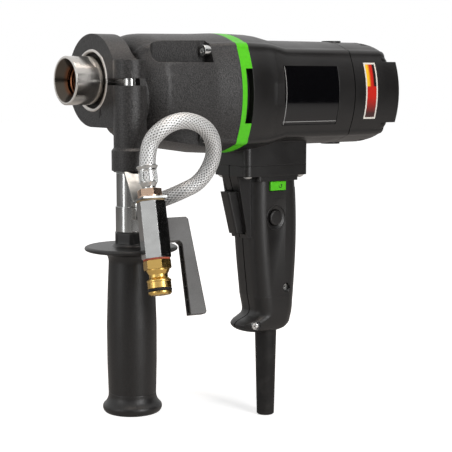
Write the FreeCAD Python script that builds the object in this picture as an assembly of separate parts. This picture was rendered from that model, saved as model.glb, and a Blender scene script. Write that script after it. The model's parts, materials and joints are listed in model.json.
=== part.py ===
import FreeCAD
import Part
import math
import os

# Hand-held core drill rig: a hollow water-fed spindle, a two-stage gearbox, a motor with a pistol handle,
# and a side handle that carries a water valve, its lever and a hose connector.
# Lengths are in millimetres. The origin is the centre of the spindle's front face, the spindle points
# to -X, +Z is up, and -Y is the side with the water valve.

Vector = FreeCAD.Vector

# Clearances
RUN_GAP = 0.05
SEAT_GAP = 0.05
FACE_GAP = 0.3
SLIDE_GAP = 0.4
GEAR_SIDE_GAP = 2.0

# Spindle
SPINDLE_R = 16.7
SPINDLE_NOSE = 20.0
SPINDLE_MOUTH_R = 15.0
SPINDLE_MOUTH_DEPTH = 7.0
SPINDLE_THREAD_R = 9.5
SPINDLE_THREAD_LENGTH = 23.0
SPINDLE_WATER_BORE_R = 5.0
SPINDLE_WATER_HOLE_R = 2.5
SPINDLE_FLAT = 31.0
SPINDLE_SEAL_R = 15.6
SPINDLE_GEAR_SEAT_R = 14.0

# Neck collar, seals and water chamber
COLLAR_R = 21.5
COLLAR_BORE_R = 19.0
COLLAR_SEAT = 6.0
SEAL_WIDTH = 3.0
SEAL_DEPTH = 3.0
CHAMBER_LENGTH = 12.0
INLET_HOLE_R = 3.5

# Bearings: bore radius, outer radius, width
SPINDLE_FRONT_BEARING = (15.0, 21.0, 7.0)
SPINDLE_REAR_BEARING = (12.5, 21.0, 9.0)
LAY_BEARING = (3.5, 7.0, 5.0)
ARMATURE_BEARING = (4.0, 11.0, 7.0)
BEARING_LIP = 2.5

# Gears: module one, so a pitch radius is half the tooth count
SPINDLE_TEETH = 46
LAY_PINION_TEETH = 13
LAY_TEETH = 30
ARMATURE_TEETH = 10
GEAR_MODULE = 1.0
SPINDLE_GEAR_WIDTH = 14.0
LAY_GEAR_WIDTH = 8.0
PINION_OVERHANG = 1.0
TOOTH_TIP = 0.85
TOOTH_ROOT = 1.2
TOOTH_PLAY = 0.3
LAY_SHAFT_R = 5.0

# Gearbox casting
RING_WIDTH = 16.5
NOSE_NECK_R = 26.0
NOSE_BOSS_R = 33.5
NOSE_BOSS_LENGTH = 7.0
NOSE_BOSS_LOW = 22.0
NOSE_SHOULDER = 20.0
CASE_HALF = 43.7
CASE_FRONT_HALF = 41.0
CASE_FRONT_TOP = 32.8
CASE_FRONT_BOTTOM = -46.0
CASE_CREASE = 19.0
CASE_BULGE = 7.0
CASE_CORNER = 4.5
CAVITY_TALL_HALF = 24.4
CAVITY_TOP = 35.0
CAVITY_WIDE_HALF = 36.0
CAVITY_WIDE = 18.0
CAVITY_LOW_HALF = 17.5
CAVITY_LOW_FRONT = 30.0
CAVITY_LOW_REAR = 36.8
PLATE_THICKNESS = 12.0
POCKET_FLOOR = CASE_HALF - 17.4
POCKET_LEDGE = CASE_HALF - 21.7
POCKET_LENGTH = 47.0

# Gearbox screws, at the four corners about the motor axis
SCREW_R = 2.0
SCREW_HEAD_R = 4.0
SCREW_HEAD = 5.0
SCREW_SOCKET_R = 2.1
SCREW_Y = CASE_HALF - 12.7
SCREW_DZ = CASE_HALF - 13.4
SCREW_GRIP = 12.0

# Intermediate flange
FLANGE_DEPTH = 10.0
FLANGE_BAND = 4.2
FLANGE_WALL = 5.6
FLANGE_SLOT_TOP = 8.5
FLANGE_SLOT_BOTTOM = -30.5
SPIGOT_DEPTH = 8.0
SPIGOT_INSET = 6.0

# Motor
MOTOR_HALF = 39.4
MOTOR_BULGE = 6.5
MOTOR_WALL = 4.4
MOTOR_LENGTH = 100.0
MOTOR_COLLAR = 18.0
MOTOR_SLOPE = 7.0
STATOR_R = MOTOR_HALF - 4.7
STATOR_BORE_R = 21.6
STATOR_LENGTH = 45.0
STATOR_SETBACK = 32.0
ARMATURE_R = 21.0
COIL_LENGTH = 8.0
COIL_R = 17.0
FAN_R = CASE_HALF - 10.7
FAN_WIDTH = 12.0
FAN_BLADES = 9
COMMUTATOR_R = 11.0
COMMUTATOR_LENGTH = 18.0
BRUSH_SETBACK = 9.0
BRUSH_WIDTH = 8.0
BRUSH_THICKNESS = 6.4
BRUSH_HOLDER_R = 6.5
BRUSH_CAP_R = 7.5
BRUSH_CAP_PROUD = 0.9

# Rear cap
CAP_HALF = 39.2
CAP_SIDE = 31.0
CAP_CORE = 43.0
CAP_TONGUE = 45.5
CAP_TONGUE_TOP = 14.3
CAP_TONGUE_BOTTOM = -32.6
CAP_CORNER_CUT = 33.0
CAP_WALL = 3.2
CAP_BEARING_SETBACK = 22.0
CAP_SCREW_R = 1.9
CAP_SCREW_HEAD_R = 3.4
CAP_SCREW_OFFSET = 27.8

# Plates on the motor housing
LABEL_FRONT = 32.0
LABEL_LENGTH = 52.0
LABEL_TOP = 10.5
LABEL_BOTTOM = -32.5
LABEL_DEPTH = 1.0
LABEL_SUNK = 0.3
STICKER_FRONT = 11.0
STICKER_LENGTH = 12.0
STICKER_TOP = 13.5
STICKER_BOTTOM = -29.4
STICKER_THICKNESS = 0.2

# Pistol handle
BLOCK_FRONT = 138.0
BLOCK_REAR = 198.0
BLOCK_HALF = 21.0
BLOCK_BOTTOM = -63.0
BLOCK_CORNER = 5.0
BLOCK_WALL = 4.0
HANDLE_FLANGE = 8.0
HANDLE_STEP = 4.0
HANDLE_HALF = 17.5
HANDLE_WALL = 2.8
HANDLE_DEPTH = 42.5
HANDLE_REAR = 192.0
HANDLE_FRONT = HANDLE_REAR - HANDLE_DEPTH
HANDLE_BOTTOM = -190.5
FOOT_HALF = 15.0
SEAM_GAP = 0.05
CHEEK_FRONT = 138.5
CHEEK_LOW_FRONT = 148.0
CHEEK_BACK = 152.0
CHEEK_BOTTOM = -118.0
CHEEK_HALF = 10.2
CHEEK_THICKNESS = 2.0
SHELL_BOSS_R = 4.2
HANDLE_SCREW_X = 5.5
HANDLE_SCREW_Y = 15.5
HANDLE_SCREW_R = 2.0
HANDLE_SCREW_HEAD_R = 4.0
HANDLE_SCREW_HEAD = 2.4

# Trigger, lock button, direction slider and switch
TRIGGER_TOP = -82.7
TRIGGER_BOTTOM = -114.5
TRIGGER_FRONT_TOP = 132.8
TRIGGER_FRONT_BOTTOM = 140.9
TRIGGER_PAD = 7.5
TRIGGER_PAD_HALF = 5.2
TRIGGER_BASE = 12.0
TRIGGER_HALF = 7.6
TRIGGER_TRAVEL = 6.0
SWITCH_FRONT = 163.0
SWITCH_REAR = 183.0
SWITCH_HALF = 10.5
SWITCH_TOP = -84.5
SWITCH_BOTTOM = -126.0
BUTTON_X = 169.0
BUTTON_Z = -103.0
BUTTON_R = 5.75
BUTTON_PROUD = 0.6
BUTTON_TRAVEL = 2.5
SLIDER_FRONT = 162.7
SLIDER_REAR = 177.3
SLIDER_TOP = -75.4
SLIDER_BOTTOM = -82.2
SLIDER_PROUD = 1.6

# Cable sleeve and clamp
SLEEVE_X = 173.0
SLEEVE_TOP_R = 8.35
SLEEVE_END_R = 6.75
SLEEVE_END = -258.3
SLEEVE_BORE_R = 4.6
SLEEVE_HEAD_R = 10.0
SLEEVE_HEAD = 4.0
CLAMP_PLATE = 4.0

# Side handle: clamp ring with its ears and the long boss
RING_R = 32.0
RING_GAP = 0.5
EAR_X = 28.0
EAR_Y = -38.0
EAR_R = 11.2
EAR_TOP = 13.9
SLIT_TOP = 1.5
SLIT_BOTTOM = -3.2
BOSS_BOTTOM = -44.7
BOSS_FOOT = -46.5
FOOT_R = 12.7
FOOT_BOTTOM = -60.0
CLAMP_BOLT_R = 4.0
BOLT_END = -190.0
TUBE_R = 9.6
TUBE_BOTTOM = -84.0
CLAMP_NUT_R = 10.3
CLAMP_NUT_BOTTOM = -101.0
CLAMP_NUT_FLAT = 18.0
GRIP_NUB_R = 10.0
GRIP_DISC_TOP = -111.0
GRIP_DISC_THICKNESS = 3.2
GRIP_DISC_R = 31.6
GRIP_NECK_R = 15.2
GRIP_BELLY_R = 17.05
GRIP_TAIL_R = 16.3
GRIP_FLARE_R = 20.3
GRIP_BOTTOM = -226.0

# Water valve, hung on a sheet bracket. The valve's axis leans out as it goes down.
BRACKET_THICKNESS = 1.5
BRACKET_WIDTH = 17.0
BRACKET_ARM = 10.0
VALVE_AZIMUTH = -101.0
VALVE_REACH = 36.4
VALVE_TOP = -78.2
VALVE_TILT = 15.3
LEVER_AZIMUTH = -15.0
VALVE_FLAT = 17.0
VALVE_LENGTH = 37.3
VALVE_BORE_R = 4.0
BALL_R = 6.0
BALL_CHAMBER_R = 6.6
STEM_DEPTH = 18.5
STEM_R = 2.6
GASKET_R = 9.2
GASKET_THICKNESS = 1.0
WASHER_R = 8.2
WASHER_THICKNESS = 1.1
BRACKET_NUT_FLAT = 14.0
BRACKET_NUT = 4.5
FERRULE_LENGTH = 15.5
FERRULE_NECK_R = 4.3
FERRULE_R = 6.25
FERRULE_RIM_R = 7.1
CONNECTOR_FLAT = 16.0
CONNECTOR_HEX = 6.0
CONNECTOR_LENGTH = 22.6
CONNECTOR_BORE_R = 4.0
CONNECTOR_BARREL_R = 7.75
O_RING_TUBE_R = 1.1
LEVER_WIDTH = 8.5
LEVER_WALL = 1.6
LEVER_TOP = 11.5
LEVER_HUB_BOTTOM = 27.0
LEVER_END = 75.5
LEVER_INNER = 17.0
LEVER_OUTER_TOP = 22.9
LEVER_OUTER_END = 28.6
LEVER_RIBS = 4

# Water inlet under the casting, and the hose from it to the valve
INLET_X = 50.0
INLET_SEAT_Z = -34.0
INLET_HEX_FLAT = 14.0
INLET_HEX = 6.0
INLET_BOTTOM = -62.0
HOSE_R = 5.5
HOSE_BORE_R = 3.5
HOSE_MIDDLE = [
    (50.0, 0.0, -72.0),
    (50.5, -8.0, -81.5),
    (52.0, -22.0, -84.5),
    (54.0, -38.0, -81.0),
    (59.5, -51.0, -75.5),
    (73.0, -57.0, -68.6),
    (79.9, -64.0, -49.6),
    (70.6, -70.0, -32.3),
    (49.8, -73.0, -24.6),
    (31.5, -72.5, -29.5),
]
HOSE_EXIT_RUN = 12.0

# Places along X that follow from the sizes above
COLLAR_X = SPINDLE_NOSE
RING_X = COLLAR_X + RING_GAP
NOSE_X = RING_X + RING_WIDTH + 1.0
CHAMBER_X = NOSE_X + COLLAR_SEAT
CHAMBER_END_X = CHAMBER_X + CHAMBER_LENGTH
FRONT_BEARING_X = CHAMBER_END_X + 1.0
CAVITY_X = FRONT_BEARING_X + SPINDLE_FRONT_BEARING[2] + 2.0
SPINDLE_GEAR_X = CAVITY_X + 2 * GEAR_SIDE_GAP
PLATE_X = SPINDLE_GEAR_X + SPINDLE_GEAR_WIDTH + GEAR_SIDE_GAP
REAR_BEARING_X = PLATE_X + BEARING_LIP
PLATE_END_X = PLATE_X + PLATE_THICKNESS
SPINDLE_END_X = PLATE_END_X + 0.5
LAY_GEAR_X = PLATE_END_X + GEAR_SIDE_GAP
SPIGOT_X = LAY_GEAR_X + LAY_GEAR_WIDTH + GEAR_SIDE_GAP
CASE_REAR_X = SPIGOT_X + SPIGOT_DEPTH
POCKET_END_X = CASE_REAR_X - 21.0
POCKET_X = POCKET_END_X - POCKET_LENGTH
MOTOR_X = CASE_REAR_X + FLANGE_DEPTH
CAP_X = MOTOR_X + MOTOR_LENGTH
BRUSH_X = CAP_X + BRUSH_SETBACK
STATOR_X = MOTOR_X + STATOR_SETBACK
COMMUTATOR_X = BRUSH_X - COMMUTATOR_LENGTH / 2
CAP_BEARING_X = CAP_X + CAP_BEARING_SETBACK

# Shaft heights that follow from the gear pairs
LAY_Z = -GEAR_MODULE * (SPINDLE_TEETH + LAY_PINION_TEETH) / 2
MOTOR_Z = LAY_Z + GEAR_MODULE * (LAY_TEETH + ARMATURE_TEETH) / 2

HANDLE_TOP = BLOCK_BOTTOM - HANDLE_FLANGE
FLANGE_UNDERSIDE = HANDLE_TOP - HANDLE_STEP


def cylinder_x(x0, x1, radius, y=0.0, z=0.0):
    """Cylinder along X between two stations."""
    return Part.makeCylinder(radius, x1 - x0, Vector(x0, y, z), Vector(1, 0, 0))


def cylinder_y(y0, y1, radius, x, z):
    """Cylinder along Y between two stations."""
    return Part.makeCylinder(radius, y1 - y0, Vector(x, y0, z), Vector(0, 1, 0))


def cylinder_z(z0, z1, radius, x=0.0, y=0.0):
    """Cylinder along Z between two stations."""
    return Part.makeCylinder(radius, z1 - z0, Vector(x, y, z0), Vector(0, 0, 1))


def tube_x(x0, x1, outer, bore, y=0.0, z=0.0):
    """Ring or tube along X."""
    return cylinder_x(x0, x1, outer, y, z).cut(cylinder_x(x0 - 1, x1 + 1, bore, y, z))


def tube_z(z0, z1, outer, bore, x=0.0, y=0.0):
    """Ring or tube along Z."""
    return cylinder_z(z0, z1, outer, x, y).cut(cylinder_z(z0 - 1, z1 + 1, bore, x, y))


def box(x0, x1, y0, y1, z0, z1):
    """Box between three pairs of stations."""
    return Part.makeBox(x1 - x0, y1 - y0, z1 - z0, Vector(x0, y0, z0))


def join(shapes):
    """Fuse a list of solids into one, with its seams cleaned."""
    whole = shapes[0]
    for shape in shapes[1:]:
        whole = whole.fuse(shape)
    return whole.removeSplitter()


def group(shapes):
    """Keep separate solids together in one node."""
    return Part.makeCompound(shapes)


def mirrored(shape):
    """Copy on the other side of the XZ plane."""
    return shape.mirror(Vector(0, 0, 0), Vector(0, 1, 0))


def turned_profile(points, base, axis, side):
    """Solid of revolution from (radius, height) points about an axis."""
    corners = [base + side * r + axis * h for r, h in points]
    outline = Part.makePolygon(corners + [corners[0]])
    return Part.Face(outline).revolve(base, axis, 360)


def turned_z(points, x=0.0, y=0.0):
    """Solid of revolution about a vertical axis."""
    return turned_profile(points, Vector(x, y, 0), Vector(0, 0, 1), Vector(1, 0, 0))


def turned_x(points, y=0.0, z=0.0):
    """Solid of revolution about an axis along X, from (radius, x) points."""
    return turned_profile(points, Vector(0, y, z), Vector(1, 0, 0), Vector(0, 0, 1))


def prism_y(points, half):
    """Solid from (x, z) outline points, from -half to +half in Y."""
    corners = [Vector(x, -half, z) for x, z in points]
    outline = Part.makePolygon(corners + [corners[0]])
    return Part.Face(outline).extrude(Vector(0, 2 * half, 0))


def hexagon(flat, z0, z1):
    """Hexagonal bar about the local Z axis, with a flat square to local X."""
    corner = flat / math.sqrt(3)
    angles = [math.radians(30 + 60 * k) for k in range(7)]
    corners = [Vector(corner * math.cos(a), corner * math.sin(a), z0) for a in angles]
    return Part.Face(Part.makePolygon(corners)).extrude(Vector(0, 0, z1 - z0))


def bowed_wire(x, half_y, z_low, z_high, bulge, corner):
    """Square with four bowed sides and rounded corners, square to the X axis."""
    mid_z = (z_low + z_high) / 2
    half_z = (z_high - z_low) / 2
    edge_y = half_y - bulge
    edge_z = half_z - bulge
    flat_y = edge_y - corner
    flat_z = edge_z - corner
    lean = corner * (1 - math.cos(math.pi / 4))

    def at(y, z):
        return Vector(x, y, mid_z + z)

    arcs = [
        Part.Arc(at(-flat_y, edge_z), at(0, half_z), at(flat_y, edge_z)),
        Part.Arc(at(flat_y, edge_z), at(edge_y - lean, edge_z - lean), at(edge_y, flat_z)),
        Part.Arc(at(edge_y, flat_z), at(half_y, 0), at(edge_y, -flat_z)),
        Part.Arc(at(edge_y, -flat_z), at(edge_y - lean, lean - edge_z), at(flat_y, -edge_z)),
        Part.Arc(at(flat_y, -edge_z), at(0, -half_z), at(-flat_y, -edge_z)),
        Part.Arc(at(-flat_y, -edge_z), at(lean - edge_y, lean - edge_z), at(-edge_y, -flat_z)),
        Part.Arc(at(-edge_y, -flat_z), at(-half_y, 0), at(-edge_y, flat_z)),
        Part.Arc(at(-edge_y, flat_z), at(lean - edge_y, edge_z - lean), at(-flat_y, edge_z)),
    ]
    return Part.Wire([arc.toShape() for arc in arcs])


def bowed_bar(x0, x1, half, bulge):
    """Straight bar of the bowed square section, centred on the motor axis."""
    wires = [bowed_wire(x, half, MOTOR_Z - half, MOTOR_Z + half, bulge, CASE_CORNER) for x in (x0, x1)]
    return Part.makeLoft(wires, True, True)


def case_bar(x0, x1, inset=0.0):
    """Bar of the casing's section, drawn in all round by inset."""
    return bowed_bar(x0, x1, CASE_HALF - inset, CASE_BULGE)


def involute_point(base_r, radius, start):
    """Point of an involute that leaves the base circle at angle start."""
    unwound = math.sqrt(max((radius / base_r) ** 2 - 1, 0))
    angle = start + unwound - math.atan(unwound)
    return radius, angle


def gear(teeth, x0, x1, z, first_tooth):
    """Spur gear along X, with one tooth centred at first_tooth degrees from +Y towards +Z."""
    pitch_r = GEAR_MODULE * teeth / 2
    pressure = math.radians(20)
    base_r = pitch_r * math.cos(pressure)
    tip_r = pitch_r + TOOTH_TIP
    root_r = pitch_r - TOOTH_ROOT
    roll = math.tan(pressure) - pressure
    half_tooth = (math.pi * GEAR_MODULE - TOOTH_PLAY) / (4 * pitch_r)
    lowest = max(base_r, root_r)
    radii = [lowest + (tip_r - lowest) * k / 4 for k in range(5)]
    flank = [involute_point(base_r, r, 0.0) for r in radii]
    pitch_angle = 2 * math.pi / teeth
    corners = []
    for k in range(teeth):
        middle = math.radians(first_tooth) + k * pitch_angle
        rise = [(r, middle - half_tooth - roll + a) for r, a in flank]
        fall = [(r, middle + half_tooth + roll - a) for r, a in reversed(flank)]
        foot = [(root_r, middle - half_tooth - roll)] if root_r < lowest else []
        heel = [(root_r, middle + half_tooth + roll)] if root_r < lowest else []
        corners += foot + rise + fall + heel
    points = [Vector(x0, r * math.cos(a), z + r * math.sin(a)) for r, a in corners]
    return Part.Face(Part.makePolygon(points + [points[0]])).extrude(Vector(x1 - x0, 0, 0))


def ball_bearing(sizes, x0, z):
    """Sealed ball bearing along X: two races with a shield between them, as one solid."""
    bore, outer, width = sizes
    body = tube_x(x0, x0 + width, outer - SEAT_GAP, bore + RUN_GAP, 0.0, z)
    groove_in = bore + (outer - bore) * 0.3
    groove_out = bore + (outer - bore) * 0.7
    for face_x in (x0 - 1, x0 + width - 0.4):
        body = body.cut(tube_x(face_x, face_x + 1.4, groove_out, groove_in, 0.0, z))
    return body


# Spindle group

def spindle():
    """Hollow stepped spindle with a countersunk mouth, a threaded bore, flats and cross water holes."""
    bearing_x = FRONT_BEARING_X
    gear_seat_x = SPINDLE_GEAR_X - GEAR_SIDE_GAP
    steps = [
        (0, 0),
        (SPINDLE_R - 0.6, 0),
        (SPINDLE_R, 0.6),
        (SPINDLE_R, NOSE_X),
        (SPINDLE_SEAL_R, NOSE_X),
        (SPINDLE_SEAL_R, bearing_x),
        (SPINDLE_FRONT_BEARING[0], bearing_x),
        (SPINDLE_FRONT_BEARING[0], gear_seat_x + GEAR_SIDE_GAP),
        (SPINDLE_GEAR_SEAT_R, gear_seat_x + GEAR_SIDE_GAP),
        (SPINDLE_GEAR_SEAT_R, REAR_BEARING_X - 0.5),
        (SPINDLE_REAR_BEARING[0], REAR_BEARING_X - 0.5),
        (SPINDLE_REAR_BEARING[0], SPINDLE_END_X),
        (0, SPINDLE_END_X),
    ]
    body = turned_x(steps)
    thread_end = SPINDLE_MOUTH_DEPTH + SPINDLE_THREAD_LENGTH
    water_end = CHAMBER_X + CHAMBER_LENGTH / 2 + 2 * SPINDLE_WATER_HOLE_R
    bore = [
        (0, -1),
        (SPINDLE_MOUTH_R, -1),
        (SPINDLE_MOUTH_R, 0.01),
        (SPINDLE_THREAD_R, SPINDLE_MOUTH_DEPTH),
        (SPINDLE_THREAD_R, thread_end),
        (SPINDLE_WATER_BORE_R, thread_end),
        (SPINDLE_WATER_BORE_R, water_end),
        (0, water_end),
    ]
    body = body.cut(turned_x(bore))
    hole_x = CHAMBER_X + CHAMBER_LENGTH / 2
    body = body.cut(cylinder_y(-SPINDLE_R, SPINDLE_R, SPINDLE_WATER_HOLE_R, hole_x, 0))
    body = body.cut(cylinder_z(-SPINDLE_R, SPINDLE_R, SPINDLE_WATER_HOLE_R, hole_x, 0))
    flat = SPINDLE_FLAT / 2
    for side in (-1, 1):
        cutter = box(5, 16, flat, SPINDLE_R + 1, -SPINDLE_R, SPINDLE_R)
        cutter.rotate(Vector(0, 0, 0), Vector(1, 0, 0), 90 - 90 * side - 55)
        body = body.cut(cutter)
    return body


def spindle_gear():
    """Large output gear with lightening holes, one tooth pointing straight down."""
    x1 = SPINDLE_GEAR_X + SPINDLE_GEAR_WIDTH
    body = gear(SPINDLE_TEETH, SPINDLE_GEAR_X, x1, 0.0, -90.0)
    return body.cut(cylinder_x(SPINDLE_GEAR_X - 1, x1 + 1, SPINDLE_GEAR_SEAT_R + 0.01))


def layshaft():
    """Layshaft turned down at both bearings, with its pinion cut on it."""
    start = CAVITY_X - LAY_BEARING[2]
    end = SPIGOT_X + 1 + LAY_BEARING[2]
    shaft = cylinder_x(start, end, LAY_BEARING[0], 0, LAY_Z)
    middle = cylinder_x(CAVITY_X + 0.3, SPIGOT_X - 0.3, LAY_SHAFT_R, 0, LAY_Z)
    x0 = SPINDLE_GEAR_X - PINION_OVERHANG
    x1 = SPINDLE_GEAR_X + SPINDLE_GEAR_WIDTH + PINION_OVERHANG
    pinion = gear(LAY_PINION_TEETH, x0, x1, LAY_Z, 90 + 180 / LAY_PINION_TEETH)
    return join([shaft, middle, pinion])


def layshaft_gear():
    """Layshaft gear driven by the armature, one tooth pointing straight up."""
    x1 = LAY_GEAR_X + LAY_GEAR_WIDTH
    body = gear(LAY_TEETH, LAY_GEAR_X, x1, LAY_Z, 90.0)
    return body.cut(cylinder_x(LAY_GEAR_X - 1, x1 + 1, LAY_SHAFT_R + 0.01, 0, LAY_Z))


# Gearbox casting and what it holds

def cavity(x0, x1, gap, depth):
    """Space for the gears: wide in the middle, tall above it and narrow below, so walls keep their thickness."""
    wide_z = CAVITY_WIDE - gap
    wide = box(x0, x1, gap - CAVITY_WIDE_HALF, CAVITY_WIDE_HALF - gap, MOTOR_Z - wide_z, MOTOR_Z + wide_z)
    tall = box(x0, x1, gap - CAVITY_TALL_HALF, CAVITY_TALL_HALF - gap,
               MOTOR_Z - wide_z, MOTOR_Z + CAVITY_TOP - gap)
    low = box(x0, x1, gap - CAVITY_LOW_HALF, CAVITY_LOW_HALF - gap, MOTOR_Z - depth + gap, MOTOR_Z - wide_z + 1)
    return join([wide, tall, low])


def case_shoulder():
    """Rounded front shoulder of the casting."""
    x = NOSE_X
    sections = [
        (x + 4.0, 30.0, CASE_FRONT_BOTTOM + 12.5, 25.0),
        (x + 8.0, 33.8, CASE_FRONT_BOTTOM + 6.5, 30.0),
        (x + 13.0, 37.2, CASE_FRONT_BOTTOM + 1.5, 32.0),
        (x + NOSE_SHOULDER, CASE_FRONT_HALF, CASE_FRONT_BOTTOM, CASE_FRONT_TOP),
    ]
    wires = [bowed_wire(sx, half, low, high, CASE_BULGE, CASE_CORNER) for sx, half, low, high in sections]
    return Part.makeLoft(wires, True, False)


def case_body():
    """Body of the casting: near straight to the crease, then swelling to the flange."""
    front = NOSE_X + NOSE_SHOULDER
    crease = CASE_REAR_X - CASE_CREASE
    sections = [
        (front, CASE_FRONT_HALF, CASE_FRONT_BOTTOM, CASE_FRONT_TOP),
        (crease, CASE_FRONT_HALF + 0.5, MOTOR_Z - CASE_HALF + 1.2, MOTOR_Z + CASE_HALF - 0.8),
        (CASE_REAR_X, CASE_HALF, MOTOR_Z - CASE_HALF, MOTOR_Z + CASE_HALF),
    ]
    wires = [bowed_wire(sx, half, low, high, CASE_BULGE, CASE_CORNER) for sx, half, low, high in sections]
    return Part.makeLoft(wires, True, True)


def corner_pocket():
    """One upper corner pocket with a rounded front end, before it is mirrored to the others."""
    z0 = MOTOR_Z + POCKET_LEDGE
    block = box(POCKET_X, POCKET_END_X, POCKET_FLOOR, CASE_HALF + 5, z0, MOTOR_Z + CASE_HALF + 5)
    lower = [edge for edge in block.Edges if is_pocket_front(edge, z0)]
    return block.makeFillet(4.0, lower)


def is_pocket_front(edge, z0):
    """The pocket's front edges: the upright one at the floor and the level one at the ledge."""
    box_ = edge.BoundBox
    at_front = abs(box_.XMax - POCKET_X) < 0.01
    upright = abs(box_.YMax - POCKET_FLOOR) < 0.01
    level = abs(box_.ZMax - z0) < 0.01
    return at_front and (upright or level)


def four_corners(shape):
    """A shape at one corner of the casing, copied to the other three about the motor axis."""
    low = shape.mirror(Vector(0, 0, MOTOR_Z), Vector(0, 0, 1))
    return [shape, mirrored(shape), low, mirrored(low)]


def screw_bore(x0, x1):
    """Clearance holes for the four gearbox screws."""
    hole = cylinder_x(x0, x1, SCREW_R + SEAT_GAP, SCREW_Y, MOTOR_Z + SCREW_DZ)
    return group(four_corners(hole))


def gearbox_housing():
    """Gearbox casting: round nose, square body, water chamber, bearing seats and corner pockets."""
    boss_x = EAR_X + EAR_R + FACE_GAP + 0.1
    boss = cylinder_x(boss_x, boss_x + NOSE_BOSS_LENGTH, NOSE_BOSS_R, 0, MOTOR_Z)
    boss = boss.common(box(boss_x, boss_x + NOSE_BOSS_LENGTH, -NOSE_BOSS_R, NOSE_BOSS_R,
                           MOTOR_Z - NOSE_BOSS_LOW, MOTOR_Z + NOSE_BOSS_R))
    neck = cylinder_x(NOSE_X, boss_x + 1, NOSE_NECK_R)
    body = join([neck, boss, case_shoulder(), case_body()])
    for pocket in four_corners(corner_pocket()):
        body = body.cut(pocket)
    hollows = [
        cylinder_x(NOSE_X - 1, CHAMBER_X, COLLAR_R + SEAT_GAP),
        cylinder_x(CHAMBER_X - 0.5, CHAMBER_END_X, COLLAR_BORE_R),
        cylinder_x(CHAMBER_END_X - 0.5, CHAMBER_END_X + 1.5, SPINDLE_SEAL_R + 1.5),
        cylinder_x(FRONT_BEARING_X, CAVITY_X + 1, SPINDLE_FRONT_BEARING[1]),
        cylinder_x(CAVITY_X - LAY_BEARING[2], CAVITY_X + 1, LAY_BEARING[1], 0, LAY_Z),
        cavity(CAVITY_X, PLATE_X + 0.01, 0.0, CAVITY_LOW_FRONT),
        cavity(PLATE_X, SPIGOT_X + 0.01, 0.0, CAVITY_LOW_REAR),
        case_bar(SPIGOT_X, CASE_REAR_X + 1, SPIGOT_INSET - 0.1),
        cylinder_z(-60, -COLLAR_BORE_R + 2, INLET_HOLE_R, INLET_X, 0),
        cylinder_z(-60, INLET_SEAT_Z, 6.5, INLET_X, 0),
        screw_bore(POCKET_END_X - 1, CASE_REAR_X + 1),
    ]
    for hollow in hollows:
        body = body.cut(hollow)
    return body


def neck_collar():
    """Bright turned collar that the side handle clamps on."""
    return turned_x([
        (COLLAR_BORE_R, COLLAR_X + 0.8),
        (COLLAR_BORE_R + 0.8, COLLAR_X),
        (COLLAR_R - 0.5, COLLAR_X),
        (COLLAR_R, COLLAR_X + 0.5),
        (COLLAR_R, CHAMBER_X - 0.1),
        (COLLAR_BORE_R, CHAMBER_X - 0.1),
    ])


def lip_seal(x0, shaft_r):
    """Rubber lip seal between the spindle and the bore round it."""
    return turned_x([
        (shaft_r + RUN_GAP, x0),
        (COLLAR_BORE_R - SEAT_GAP, x0),
        (COLLAR_BORE_R - SEAT_GAP, x0 + SEAL_WIDTH),
        (shaft_r + 0.9, x0 + SEAL_WIDTH),
        (shaft_r + 0.9, x0 + 1.2),
        (shaft_r + RUN_GAP, x0 + 1.2),
    ])


def front_shaft_seal():
    """Dust seal at the mouth of the collar."""
    return lip_seal(COLLAR_X + SEAL_DEPTH, SPINDLE_R)


def water_seals():
    """Two seals, one at each end of the water chamber."""
    front = lip_seal(CHAMBER_X + 0.1, SPINDLE_SEAL_R)
    rear = lip_seal(CHAMBER_END_X - SEAL_WIDTH, SPINDLE_SEAL_R)
    return group([front, rear])


def spindle_bearing_front():
    """Front spindle bearing."""
    return ball_bearing(SPINDLE_FRONT_BEARING, FRONT_BEARING_X, 0.0)


def spindle_bearing_rear():
    """Rear spindle bearing, in the bearing plate."""
    return ball_bearing(SPINDLE_REAR_BEARING, REAR_BEARING_X, 0.0)


def bearing_plate():
    """Plate across the casting that holds the rear spindle bearing."""
    body = cavity(PLATE_X, PLATE_END_X, 0.15, CAVITY_LOW_REAR)
    body = body.cut(cylinder_x(REAR_BEARING_X, PLATE_END_X + 1, SPINDLE_REAR_BEARING[1]))
    body = body.cut(cylinder_x(PLATE_X - 1, REAR_BEARING_X + 1, SPINDLE_REAR_BEARING[1] - 2.5))
    return body.cut(cylinder_x(PLATE_X - 1, PLATE_END_X + 1, LAY_SHAFT_R + 0.6, 0, LAY_Z))


def layshaft_bearings():
    """Front and rear layshaft bearings."""
    front = ball_bearing(LAY_BEARING, CAVITY_X - LAY_BEARING[2], LAY_Z)
    rear = ball_bearing(LAY_BEARING, SPIGOT_X + 1, LAY_Z)
    return group([front, rear])


def gearbox_screws():
    """Four socket screws through the casting and flange into the motor housing."""
    head_x = POCKET_END_X - SCREW_HEAD
    end_x = MOTOR_X + SCREW_GRIP
    z = MOTOR_Z + SCREW_DZ
    head = cylinder_x(head_x, POCKET_END_X, SCREW_HEAD_R, SCREW_Y, z)
    shank = cylinder_x(POCKET_END_X - 0.5, end_x, SCREW_R, SCREW_Y, z)
    socket = cylinder_x(head_x - 1, head_x + 2.5, SCREW_SOCKET_R, SCREW_Y, z)
    return group(four_corners(join([head, shank]).cut(socket)))


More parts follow.
